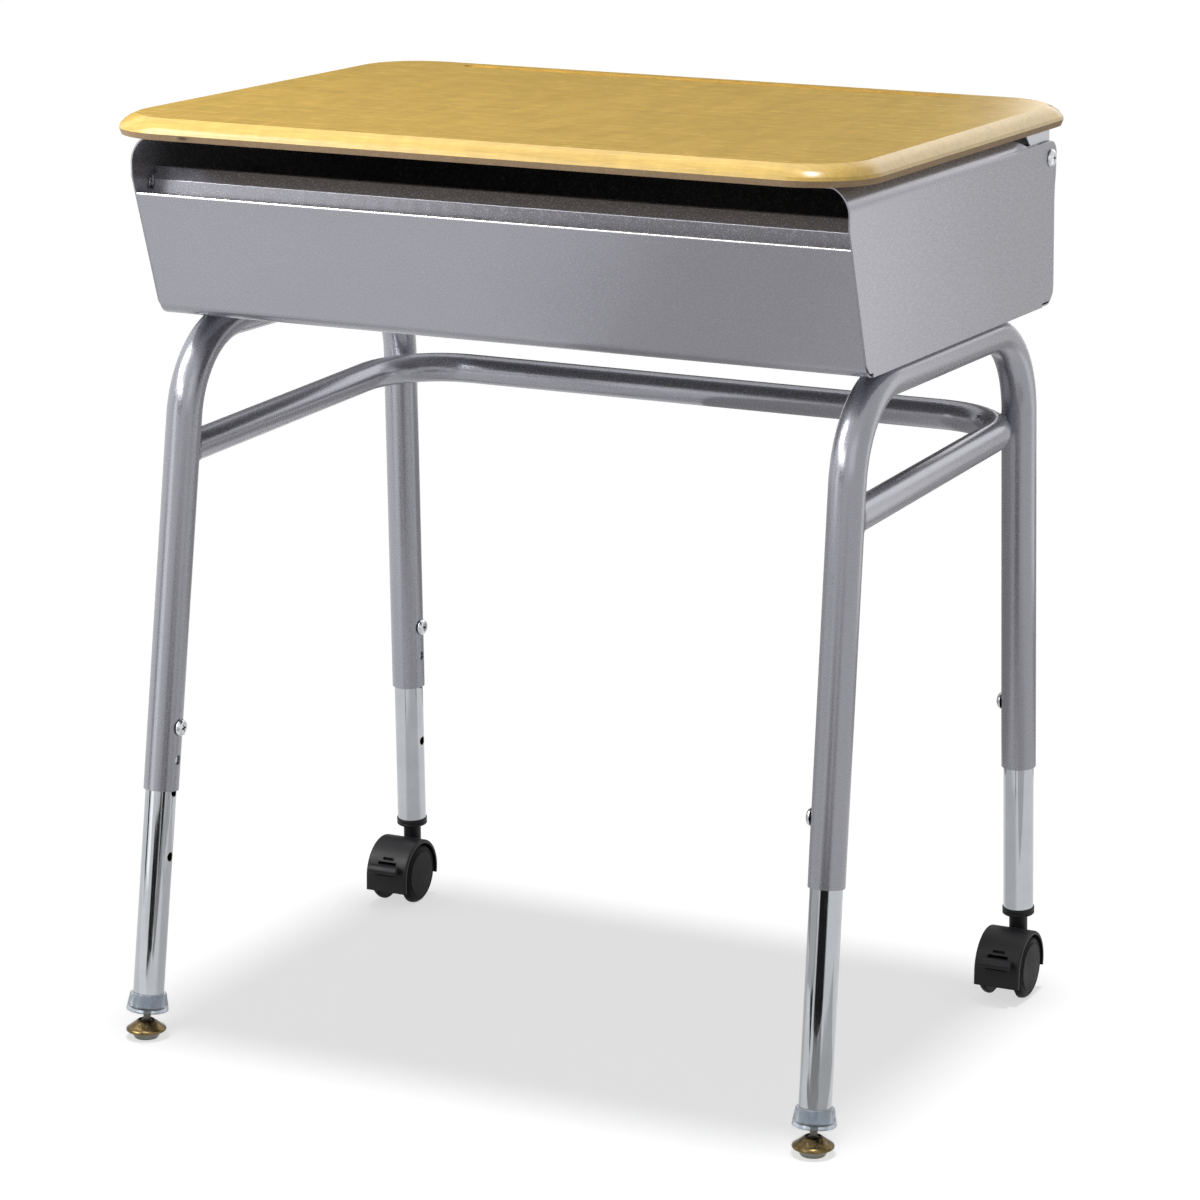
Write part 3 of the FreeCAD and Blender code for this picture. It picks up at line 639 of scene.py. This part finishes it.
class DESK_OT_box(bpy.types.Operator):
    """Shapes the rolled side sheets and the pencil trough, and finishes the book box"""
    bl_idname = "desk.box"
    bl_label = "Book box"

    def execute(self, context):
        coat = finish_of(context, "coat", lambda s: powder_coat(s.steel))
        dress(["box_shell"], finish_of(context, "shell", lambda s: shell_coat(s.steel)))
        for side, name in ((-1, "left"), (1, "right")):
            piece = new_piece("rolled_side_" + name, *self.side_sheet(side), "frame", coat)
            wall = piece.modifiers.new("wall", "SOLIDIFY")
            wall.thickness, wall.offset, wall.use_even_offset = SHEET, -1.0, True
            crisp(piece)
            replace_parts(piece, "side_panel_" + name)
        trough = crisp(new_piece("trough_sheet", *self.trough(), "frame", coat))
        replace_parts(trough, "pencil_trough")
        welds = new_piece("trough_welds", *self.trough_welds(), "frame", weld_finish(context))
        return {"FINISHED"}

    def side_sheet(self, side):
        """Each row is one height on the sheet, each column one share of the way back along it.
        Past CURL_Z by a length s the sheet turns inwards by the angle a = k s, up to 60
        degrees: x = SIDE_X - (1 - cos a) / k, z = CURL_Z + sin a / k. From there to a right
        angle it follows the lip's radius, and then it runs flat. k is 1 / CURL_R along the rim
        and falls to nothing towards the hinge ear."""
        low, ear, ear_r = 0.5605, 0.6884, 0.0124
        lean = rounded_line([(-0.1490, 0.5636), (-0.1556, 0.5640), (-0.1622, 0.5706),
                             (-0.1924, 0.6560), (-0.1976, 0.6707), (-0.1979, 0.6980)],
                            [0, 0.003, 0.012, 0.004, 0.010, 0])
        heights = np.unique(np.concatenate([
            [low, 0.5635], lean[:, 1], np.linspace(0.571, CURL_Z, 26),
            np.linspace(CURL_Z, ear, 10), ear - ear_r * (1 - np.cos(np.linspace(0, 1.5, 9)))]))
        heights = np.concatenate([heights[heights <= ear], [0.6886]])
        third = np.pi / 3
        lip = CURL_Z + CURL_R * third
        length = np.concatenate([np.linspace(0.6895, 0.6980, 8), np.linspace(0.6988, lip, 8),
                                 lip + LIP_R * np.linspace(0.1, 1, 7) * np.pi / 6,
                                 lip + LIP_R * np.pi / 6 + np.linspace(0.001, 0.010, 5)])
        s = np.concatenate([heights, length])
        front = np.interp(s, lean[:, 1], lean[:, 0])
        front = np.where(s < 0.5636, -0.1490, front)
        front = front + 0.004 * soft_step((s - s[-1] + 0.004) / 0.004) ** 2
        back = np.interp(s, [low, 0.56355, 0.5637, 0.5660, 0.5700, 0.5760, 0.6400, 0.6520,
                             0.6600, 0.6760],
                         [0.1890, 0.1890, 0.2060, 0.2102, 0.2122, 0.2127, 0.2090, 0.2090,
                          0.2102, 0.2109])
        drop = np.clip((s - (ear - ear_r)) / ear_r, 0, 1)
        back = np.where(s > ear - ear_r, 0.2109 - ear_r + ear_r * np.sqrt(1 - drop ** 2), back)
        back = np.where(s > ear + 1e-5, np.interp(s, [0.6886, 0.6980], [0.1475, 0.1270]), back)
        share = np.concatenate([[0.0, 0.002], np.linspace(0.008, 0.992, 84), [0.998, 1.0]])
        y = front[:, None] + (back - front)[:, None] * share[None]
        k = (1.0 - soft_step((y - 0.1265) / 0.021)) / CURL_R + 1e-3
        past = np.maximum(s - CURL_Z, 0.0)[:, None]
        a = np.minimum(past * k, third)
        rest = np.maximum(past - third / k, 0.0)
        b = third + np.minimum(rest / LIP_R, np.pi / 6)
        flat = np.maximum(rest - LIP_R * np.pi / 6, 0.0)
        x = SIDE_X - (1 - np.cos(a)) / k - LIP_R * (math.cos(third) - np.cos(b)) - flat
        z = (np.minimum(s, CURL_Z)[:, None] + np.sin(a) / k
             + LIP_R * (np.sin(b) - math.sin(third)))
        points = np.stack([side * x, y, z], -1)
        return points.reshape(-1, 3), grid_faces(len(s), len(share), wrap=False)

    def trough(self):
        """Bent sheet carried along X between the sides: every section is the closed outline,
        moved by a few hundredths of a millimetre of press waviness."""
        line = rounded_line([(-0.1594, 0.6741), (-0.1650, 0.6741), (-0.1713, 0.6649),
                             (-0.1732, 0.6510), (-0.1812, 0.6438), (-0.1881, 0.6474)],
                            [0, 0.0012, 0.0016, 0.006, 0.006, 0])
        x = np.linspace(-0.2890, 0.2890, 260)
        wave = 0.00003 * (np.sin(x * 410) + np.sin(x * 905 + 1.3) + 0.8 * np.sin(x * 1570 + 0.4))
        lift = 0.00002 * (np.sin(x * 620 + 0.7) + np.sin(x * 1310))
        press = np.stack([wave, np.minimum(lift, 0)], -1)
        return carried(x, sheet_loop(line, -SHEET)[None] + press[:, None])

    def trough_welds(self):
        """Spattered beads down each end of the trough, against the side sheets."""
        beads = []
        for side in (-1, 1):
            for x, shift, r, waves in ((0.2879, 0.0, 0.0013, 13.0), (0.2884, -0.0026, 0.0010, 7.0),
                                       (0.2868, -0.0004, 0.0006, 10.0)):
                yz = rounded_line([(-0.1652, 0.6726), (-0.1716, 0.6648), (-0.1728, 0.6570)],
                                  [0, 0.004, 0], 9)
                yz = np.stack([np.interp(np.linspace(0, 1, 30), np.linspace(0, 1, len(yz)),
                                         yz[:, i]) for i in (0, 1)], -1)
                path = np.column_stack([np.full(30, side * x), yz[:, 0] + shift, yz[:, 1]])
                beads.append(bead(path, r, 0.34, waves))
        return joined(*beads)


class DESK_OT_hinge(bpy.types.Operator):
    """Finishes the hinge channel, its bushings, screws and nuts, and the lid's bumpers"""
    bl_idname = "desk.hinge"
    bl_label = "Hinge"

    def execute(self, context):
        dress(["hinge_channel"], finish_of(context, "channel", lambda s: powder_coat(
            s.channel, "channel_coat", 0.36)))
        zinc = finish_of(context, "zinc", zinc_plate)
        dress(["hinge_screws", "pivot_nuts"], zinc)
        dress(["pivot_bushings"], nylon_finish(context))
        rubber = finish_of(context, "rubber", lambda s: moulded(
            "bumper_rubber", linear(34, 34, 35), 0.7))
        lip = crisp(new_piece("channel_lip", *self.lip(), "lid", MADE["channel"]))
        heads = new_piece("pivot_cross_screws", *joined(*[
            cross_head(PIVOT_PROFILE, 0.0069, 0.0036, (side * SIDE_X, PIVOT_Y, PIVOT_Z),
                       (side, 0, 0), turn)
            for side, turn in ((-1, 0.35), (1, 1.35))]), "frame", zinc)
        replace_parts(crisp(heads, 40.0), "pivot_screws")
        pads = new_piece("rim_bumpers", *joined(*[
            turned([(0, 0.0017), (0.0036, 0.0017), (0.0044, 0.0014), (0.0048, 0.0008),
                    (0.0049, 0.0), (0, 0)], (side * 0.2690, y, RIM_TOP), (0, 0, 1), 40)
            for side in (-1, 1) for y in (-0.150, 0.096)]), "frame", rubber)
        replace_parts(crisp(pads, 40.0), "lid_bumpers")
        return {"FINISHED"}

    def lip(self):
        """Closed outline of the bent lip that carries the channel's rear edge down to the box,
        carried along X between the pivot nuts."""
        loop = sheet_loop(rounded_line([(0.1979, 0.6885), (0.1979, 0.6712), (0.1966, 0.6692)],
                                       [0, 0.0012, 0]), 0.0014)
        return carried(np.linspace(-0.2735, 0.2735, 40), loop[None])


class DESK_OT_underframe(bpy.types.Operator):
    """Finishes the side frames, the stretcher and the screws in the legs"""
    bl_idname = "desk.underframe"
    bl_label = "Underframe"

    def execute(self, context):
        coat = finish_of(context, "coat", lambda s: powder_coat(s.steel))
        dress(["side_frame_left", "side_frame_right", "stretcher"], coat)
        heads = []
        for side in (-1, 1):
            for which, turn in (("front", 0.55), ("rear", 0.10)):
                toward = leg_frame(which, side)[1]
                seat = leg_axis(which, side, SCREW_Z[which]) + toward * SLEEVE_R
                heads.append(cross_head(LOCK_PROFILE, 0.00675, 0.0035, seat, toward,
                                        turn + 0.4 * side))
        screws = new_piece("leg_cross_screws", *joined(*heads), "frame",
                           finish_of(context, "zinc", zinc_plate))
        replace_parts(crisp(screws, 40.0), "leg_screws")
        welds = new_piece("underframe_welds", *joined(*self.beads()), "frame",
                          weld_finish(context))
        return {"FINISHED"}

    def beads(self):
        """Rings where the stretcher meets the legs, short runs beside the rails and a filled
        spot on the stretcher's right bend."""
        made = []
        t = np.linspace(0, 2 * np.pi, 60, endpoint=False)
        for side in (-1, 1):
            made.append(bead(self.coped_ring(side, t), 0.0013, 0.16, 23.0, closed=True))
            across = np.array([0.63 * side, -0.78, 0.0])
            ring = (np.array([side * 0.2642, 0.1820, 0.4680])
                    + 0.0062 * np.cos(t)[:, None] * across
                    + 0.0072 * np.sin(t)[:, None] * np.array([0, 0, 1.0]))
            made.append(bead(ring, 0.0019, 0.22, 9.0, closed=True))
            for edge in (-0.0062, 0.0062):
                for y in (-0.105, 0.015, 0.125):
                    run = np.linspace(y - 0.015, y + 0.015, 40)
                    path = np.column_stack([np.full(40, side * 0.2730 + edge), run,
                                            np.full(40, 0.5594)])
                    made.append(bead(path, 0.0015, 0.12, 17.0))
        made.append(turned([(0, 0.0012), (0.0010, 0.00113), (0.0020, 0.0008), (0.0029, 0.0002),
                            (0.0036, -0.0010), (0, -0.0010)], (0.2487, 0.1665, 0.4746),
                           (-0.58, -0.59, 0.56), 24))
        return made

    def coped_ring(self, side, t):
        """Where the stretcher's tube meets a front leg's: a line of the tube starts at W from
        the leg's axis and runs along A, both taken square to that axis, and reaches the leg's
        radius R after (-A.W - sqrt((A.W)^2 - A^2 (W^2 - R^2))) / A^2."""
        start = np.array([side * 0.2734, 0.1930, 0.4686])
        joint = leg_axis("front", side, 0.4559)
        along = unit(joint - start)
        leg = leg_frame("front", side)[0]
        u, v = side_basis(along)
        begin = start + STRETCHER_R * (np.cos(t)[:, None] * u + np.sin(t)[:, None] * v)
        square = lambda p: p - (p @ leg)[..., None] * leg
        w, a = square(begin - joint), square(along)
        aw, aa = w @ a, a @ a
        reach = (-aw - np.sqrt(aw ** 2 - aa * ((w * w).sum(-1) - SLEEVE_R ** 2))) / aa
        return begin + reach[:, None] * along


class DESK_OT_legs(bpy.types.Operator):
    """Finishes the chrome leg inserts"""
    bl_idname = "desk.legs"
    bl_label = "Leg inserts"

    def execute(self, context):
        chrome = finish_of(context, "chrome", lambda s: plated(
            "chrome", linear(182, 185, 189), 0.06, 40.0))
        rim = finish_of(context, "rim", lambda s: plated("hole_rim", linear(150, 128, 84), 0.3))
        for side, name in ((-1, "left"), (1, "right")):
            for which in ("front", "rear"):
                dress(["leg_insert_%s_%s" % (which, name)], chrome)
                ring = new_piece("hole_rim_%s_%s" % (which, name), *self.rim(which, side),
                                 "insert_%s_%s" % (which, name), rim)
        return {"FINISHED"}

    def rim(self, which, side):
        """Ring of cut metal round the insert's lowest hole: a circle of radius q about the hole,
        lifted to the tube: sqrt(R^2 - (q cos t)^2) out from the leg's axis."""
        up, toward = leg_frame(which, side)
        over = np.cross(up, toward)
        t = np.linspace(0, 2 * np.pi, 48, endpoint=False)[:, None]
        q = 0.0037
        path = (leg_axis(which, side, SCREW_Z[which] - HOLE_DROP * up[2])
                + q * np.cos(t) * over + q * np.sin(t) * up
                + np.sqrt((INSERT_R - RIM_SUNK) ** 2 - (q * np.cos(t)) ** 2) * toward)
        return bead(path, 0.00022, 0.1, 9.0, 10, closed=True)


class DESK_OT_glides(bpy.types.Operator):
    """Finishes the cups, stems, brass caps and nylon bases of the front glides"""
    bl_idname = "desk.glides"
    bl_label = "Glides"

    def execute(self, context):
        cup = finish_of(context, "cup", lambda s: clear_cup(s.cup))
        brass = finish_of(context, "brass", lambda s: antique_brass(s.brass))
        nylon = nylon_finish(context)
        stem = finish_of(context, "stem", lambda s: plated("dark_steel", linear(96, 92, 86), 0.3))
        for s in ("left", "right"):
            dress(["glide_cup_" + s], cup)
            dress(["glide_cap_" + s], brass)
            dress(["glide_base_" + s], nylon)
            dress(["glide_stem_" + s], stem)
        return {"FINISHED"}


class DESK_OT_casters(bpy.types.Operator):
    """Finishes the hoods, wheels, levers and metalwork of the rear casters"""
    bl_idname = "desk.casters"
    bl_label = "Casters"

    def execute(self, context):
        black = finish_of(context, "black", lambda s: moulded(
            "black_plastic", s.plastic, 0.48, gloss=0.26))
        tread = finish_of(context, "wheel", lambda s: moulded(
            "wheel_plastic", shade(s.plastic, 0.80), 0.42, 0.00003, gloss=0.08))
        zinc = finish_of(context, "zinc", zinc_plate)
        for s in ("left", "right"):
            dress(["caster_socket_" + s, "caster_hood_" + s, "brake_lever_" + s], black)
            dress(["caster_wheel_outer_" + s, "caster_wheel_inner_" + s], tread)
            dress(["caster_stem_" + s, "caster_axle_" + s], zinc)
        return {"FINISHED"}


class DESK_OT_stage(bpy.types.Operator):
    """Lays the pale floor, hangs the soft lights and stands the camera"""
    bl_idname = "desk.stage"
    bl_label = "Stage"

    def execute(self, context):
        stage = context.scene.desk_stage
        self.floor(stage)
        self.lights(stage)
        self.camera(context, stage.lens)
        context.scene.view_settings.view_transform = "Standard"
        return {"FINISHED"}

    def floor(self, stage):
        """Flat disc under the desk: pale to light and mirrors, white to the camera but for
        the desk's shadow."""
        t = np.linspace(0, 2 * np.pi, 96, endpoint=False)
        verts = np.stack([40 * np.cos(t), 40 * np.sin(t), np.zeros_like(t)], -1)
        mesh = bpy.data.meshes.new("floor")
        mesh.from_pydata(verts.tolist(), [], [list(range(96))])
        f = Finish("pale_floor", (stage.floor,) * 3, 0.9)
        f.skin.inputs["Specular IOR Level"].default_value = 0.0
        shown = f.add("ShaderNodeBsdfDiffuse")
        shown.inputs["Color"].default_value = (*(stage.shadow,) * 3, 1.0)
        lit = stage.shadow * (stage.overhead / math.pi + stage.fill)
        glow = f.add("ShaderNodeEmission", Strength=1.02 - lit)
        both = f.add("ShaderNodeAddShader")
        pick = f.add("ShaderNodeMixShader")
        f.join(shown, 0, both, 0)
        f.join(glow, 0, both, 1)
        f.join(self.seen(f.tree), None, pick, 0)
        f.join(f.skin, 0, pick, 1)
        f.join(both, 0, pick, 2)
        f.join(pick, 0, f.out, "Surface")
        mesh.materials.append(f.mat)
        floor = bpy.data.objects.new("floor", mesh)
        bpy.context.scene.collection.objects.link(floor)

    def seen(self, tree):
        """1 for rays from the camera, a mirror or clear plastic, 0 for light."""
        path = tree.nodes.new("ShaderNodeLightPath")
        total = path.outputs["Is Camera Ray"]
        for kind in ("Is Glossy Ray", "Is Transmission Ray"):
            add = tree.nodes.new("ShaderNodeMath")
            add.operation, add.use_clamp = "ADD", True
            tree.links.new(total, add.inputs[0])
            tree.links.new(path.outputs[kind], add.inputs[1])
            total = add.outputs[0]
        return total

    def lights(self, stage):
        """White surroundings, a sun overhead, two soft boxes that light the desk only, a low
        lamp for the lid's face and the cards that gloss sees."""
        world = bpy.context.scene.world or bpy.data.worlds.new("surroundings")
        bpy.context.scene.world = world
        world.use_nodes = True
        tree = world.node_tree
        tree.nodes.clear()
        out = tree.nodes.new("ShaderNodeOutputWorld")
        mix = tree.nodes.new("ShaderNodeMixShader")
        tree.links.new(self.seen(tree), mix.inputs[0])
        for slot, strength in ((1, stage.fill), (2, 1.0)):
            light = tree.nodes.new("ShaderNodeBackground")
            light.inputs["Color"].default_value = (1, 1, 1, 1)
            light.inputs["Strength"].default_value = strength
            tree.links.new(light.outputs[0], mix.inputs[slot])
        tree.links.new(mix.outputs[0], out.inputs["Surface"])
        sun = bpy.data.lights.new("overhead", "SUN")
        sun.energy, sun.angle = stage.overhead, math.radians(7.4)
        piece = bpy.data.objects.new("overhead", sun)
        bpy.context.scene.collection.objects.link(piece)
        self.aim(piece, (0.012, -0.020, 0.70), (0, 0, 0))
        lit = bpy.data.collections.new("desk_pieces")
        for piece in bpy.context.scene.objects:
            if piece.type == "MESH" and piece.name != "floor":
                lit.objects.link(piece)
        lid = bpy.data.collections.new("lid_only")
        lid.objects.link(bpy.data.objects["lid_face"])
        for name, place, aim, size, power in (
                ("key", (-1.25, -0.98, 1.80), (0, -0.1, 0.60), (0.9, 0.9), stage.key_power),
                ("side", (1.25, -1.25, 1.25), (0.25, 0, 0.62), (0.9, 0.9), stage.side_power),
                ("bevel", (-0.45, -1.30, 0.86), (0, -0.23, 0.71), (1.6, 0.35), stage.bevel_power)):
            lamp = bpy.data.lights.new(name, "AREA")
            lamp.shape, lamp.energy = "RECTANGLE", power
            lamp.size, lamp.size_y = size
            piece = bpy.data.objects.new(name, lamp)
            bpy.context.scene.collection.objects.link(piece)
            self.aim(piece, place, aim)
            piece.light_linking.receiver_collection = lid if name == "bevel" else lit
            piece.visible_glossy = name != "bevel"
        for card in STUDIO_CARDS:
            self.card(*card)

    def card(self, name, place, target, size, strength):
        """Flat one-sided card that only mirrors and gloss see: dark to deepen them, bright to
        light them."""
        corners = np.array([(-1, -1, 0), (1, -1, 0), (1, 1, 0), (-1, 1, 0)]) * 0.5
        mesh = bpy.data.meshes.new(name)
        mesh.from_pydata((corners * (*size, 0.0)).tolist(), [], [[3, 2, 1, 0]])
        f = Finish(name, (0.0, 0.0, 0.0), 1.0)
        glow = f.add("ShaderNodeEmission", Strength=strength)
        clear = f.add("ShaderNodeBsdfTransparent")
        side = f.add("ShaderNodeNewGeometry")
        pick = f.add("ShaderNodeMixShader")
        f.join(side, "Backfacing", pick, 0)
        f.join(glow, 0, pick, 1)
        f.join(clear, 0, pick, 2)
        f.join(pick, 0, f.out, "Surface")
        mesh.materials.append(f.mat)
        card = bpy.data.objects.new(name, mesh)
        bpy.context.scene.collection.objects.link(card)
        self.aim(card, place, target)
        for ray in ("camera", "diffuse", "transmission", "volume_scatter", "shadow"):
            setattr(card, "visible_" + ray, False)

    def aim(self, piece, place, target):
        """Puts a lamp or card at a place with its -Z side towards a target."""
        z = unit(np.subtract(place, target))
        x = unit(np.cross((0, 0, 1), z))
        self.put(piece, place, x, np.cross(z, x), z)

    def put(self, piece, place, x, y, z):
        """Places an object by its own three axes."""
        grid = np.eye(4)
        grid[:3, 0], grid[:3, 1], grid[:3, 2], grid[:3, 3] = x, y, z, place
        piece.matrix_world = Matrix(grid.tolist())

    def camera(self, context, lens):
        """Long lens from the right front, turned 26 degrees and tipped 13.4 down."""
        ahead = np.array([math.sin(YAW) * math.cos(PITCH), math.cos(YAW) * math.cos(PITCH),
                          math.sin(PITCH)])
        right = np.array([math.cos(YAW), -math.sin(YAW), 0.0])
        up = np.cross(right, ahead)
        x = math.cos(ROLL) * right + math.sin(ROLL) * up
        y = -math.sin(ROLL) * right + math.cos(ROLL) * up
        data = bpy.data.cameras.new("camera")
        data.lens, data.sensor_width = lens, 36.0
        data.clip_start, data.clip_end = 0.1, 100.0
        camera = bpy.data.objects.new("camera", data)
        context.scene.collection.objects.link(camera)
        self.put(camera, EYE, x, y, -ahead)
        context.scene.camera = camera


# name, centre, what it faces, width and height, strength
STUDIO_CARDS = (
    ("front_flag", (0.31, -1.02, 0.19), (0.31, 0.0, 0.19), (0.31, 0.38), 0.28),
    ("front_left_flag", (0.02, -1.02, 0.19), (0.02, 0.0, 0.19), (0.28, 0.38), 0.88),
    ("front_right_flag", (0.82, -1.03, 0.21), (0.82, 0.0, 0.21), (0.40, 0.42), 0.52),
    ("floor_flag", (0.40, -0.775, 0.002), (0.40, -0.780, 1.0), (0.56, 0.33), 0.42),
    ("chrome_flag", (0.375, -0.62, 0.125), (0.375, 0.0, 0.125), (0.45, 0.150), 0.02),
    ("chrome_low_flag", (0.395, -0.62, 0.024), (0.395, 0.0, 0.024), (0.41, 0.046), 0.40),
    ("chrome_left_flag", (-0.125, -0.62, 0.075), (-0.125, 0.0, 0.075), (0.27, 0.130), 0.03),
    ("near_floor_flag", (0.28, -0.53, 0.002), (0.28, -0.535, 1.0), (0.50, 0.16), 0.40),
    ("right_floor_flag", (0.66, -0.32, 0.002), (0.66, -0.325, 1.0), (0.50, 0.60), 0.66),
    ("floor_glow", (-0.66, -0.70, 0.002), (-0.66, -0.705, 1.0), (0.90, 0.60), 1.18),
    ("left_flag", (-1.10, -0.77, 0.20), (-0.28, -0.2, 0.20), (0.20, 0.40), 0.02),
    ("left_strip", (-0.95, -1.35, 0.45), (0.0, -0.2, 0.45), (0.50, 0.9), 1.9),
    ("middle_front_flag", (0.0, -0.47, 0.26), (1.0, -0.47, 0.26), (0.54, 0.38), 0.65),
    ("middle_rear_flag", (0.0, 0.20, 0.27), (1.0, 0.20, 0.27), (0.80, 0.36), 0.42),
    ("under_flag", (0.0, 0.02, 0.556), (0.0, 0.021, 0.0), (0.50, 0.32), 0.04),
    ("side_box", (0.72, 0.52, 0.46), (0.29, -0.25, 0.62), (0.34, 0.50), 1.60),
    ("side_flag", (0.58, 1.00, 0.48), (0.50, 0.10, 0.62), (0.30, 0.50), 0.84),
    ("trough_flag", (-0.88, -1.97, 0.95), (0.0, -0.17, 0.65), (2.6, 0.56), 0.06),
    ("bevel_box", (-1.00, -2.10, 1.62), (0.0, -0.23, 0.71), (1.9, 0.50), 7.5),
    ("bevel_right_box", (0.37, 1.85, 1.46), (0.30, 0.0, 0.71), (1.6, 1.2), 1.9),
    ("back_low_flag", (0.40, 0.86, 0.15), (0.40, 0.0, 0.15), (1.5, 0.30), 0.5),
    ("back_flag", (-1.325, 2.0, 1.22), (-0.3, 0.0, 0.72), (2.45, 1.2), 0.05),
    ("top_box", (-0.5, -0.1, 2.5), (-0.2, -0.1, 0.0), (2.2, 1.3), 2.2),
)
# The camera's place in metres and its turn in radians
EYE = (1.4386077, -2.9420218, 1.1156892)
YAW, PITCH, ROLL = -0.4534625, -0.2337279, 0.0078187
OPERATORS = (DESK_OT_lid, DESK_OT_box, DESK_OT_hinge, DESK_OT_underframe, DESK_OT_legs,
             DESK_OT_glides, DESK_OT_casters, DESK_OT_stage)


class DESK_PT_panel(bpy.types.Panel):
    """Lists the desk's pieces and their settings"""
    bl_idname = "DESK_PT_panel"
    bl_label = "School desk"
    bl_space_type = "VIEW_3D"
    bl_region_type = "UI"
    bl_category = "Desk"

    def draw(self, context):
        for operator in OPERATORS:
            self.layout.operator(operator.bl_idname)
        for group in (context.scene.desk_finish, context.scene.desk_stage):
            for key in group.__annotations__:
                self.layout.prop(group, key)


CLASSES = (DeskFinish, DeskStage, *OPERATORS, DESK_PT_panel)


def register():
    for cls in CLASSES:
        bpy.utils.register_class(cls)
    bpy.types.Scene.desk_finish = bpy.props.PointerProperty(type=DeskFinish)
    bpy.types.Scene.desk_stage = bpy.props.PointerProperty(type=DeskStage)


def unregister():
    del bpy.types.Scene.desk_stage
    del bpy.types.Scene.desk_finish
    for cls in reversed(CLASSES):
        bpy.utils.unregister_class(cls)


def main():
    register()
    for operator in OPERATORS:
        group, name = operator.bl_idname.split(".")
        getattr(getattr(bpy.ops, group), name)()


if __name__ == "__main__":
    main()
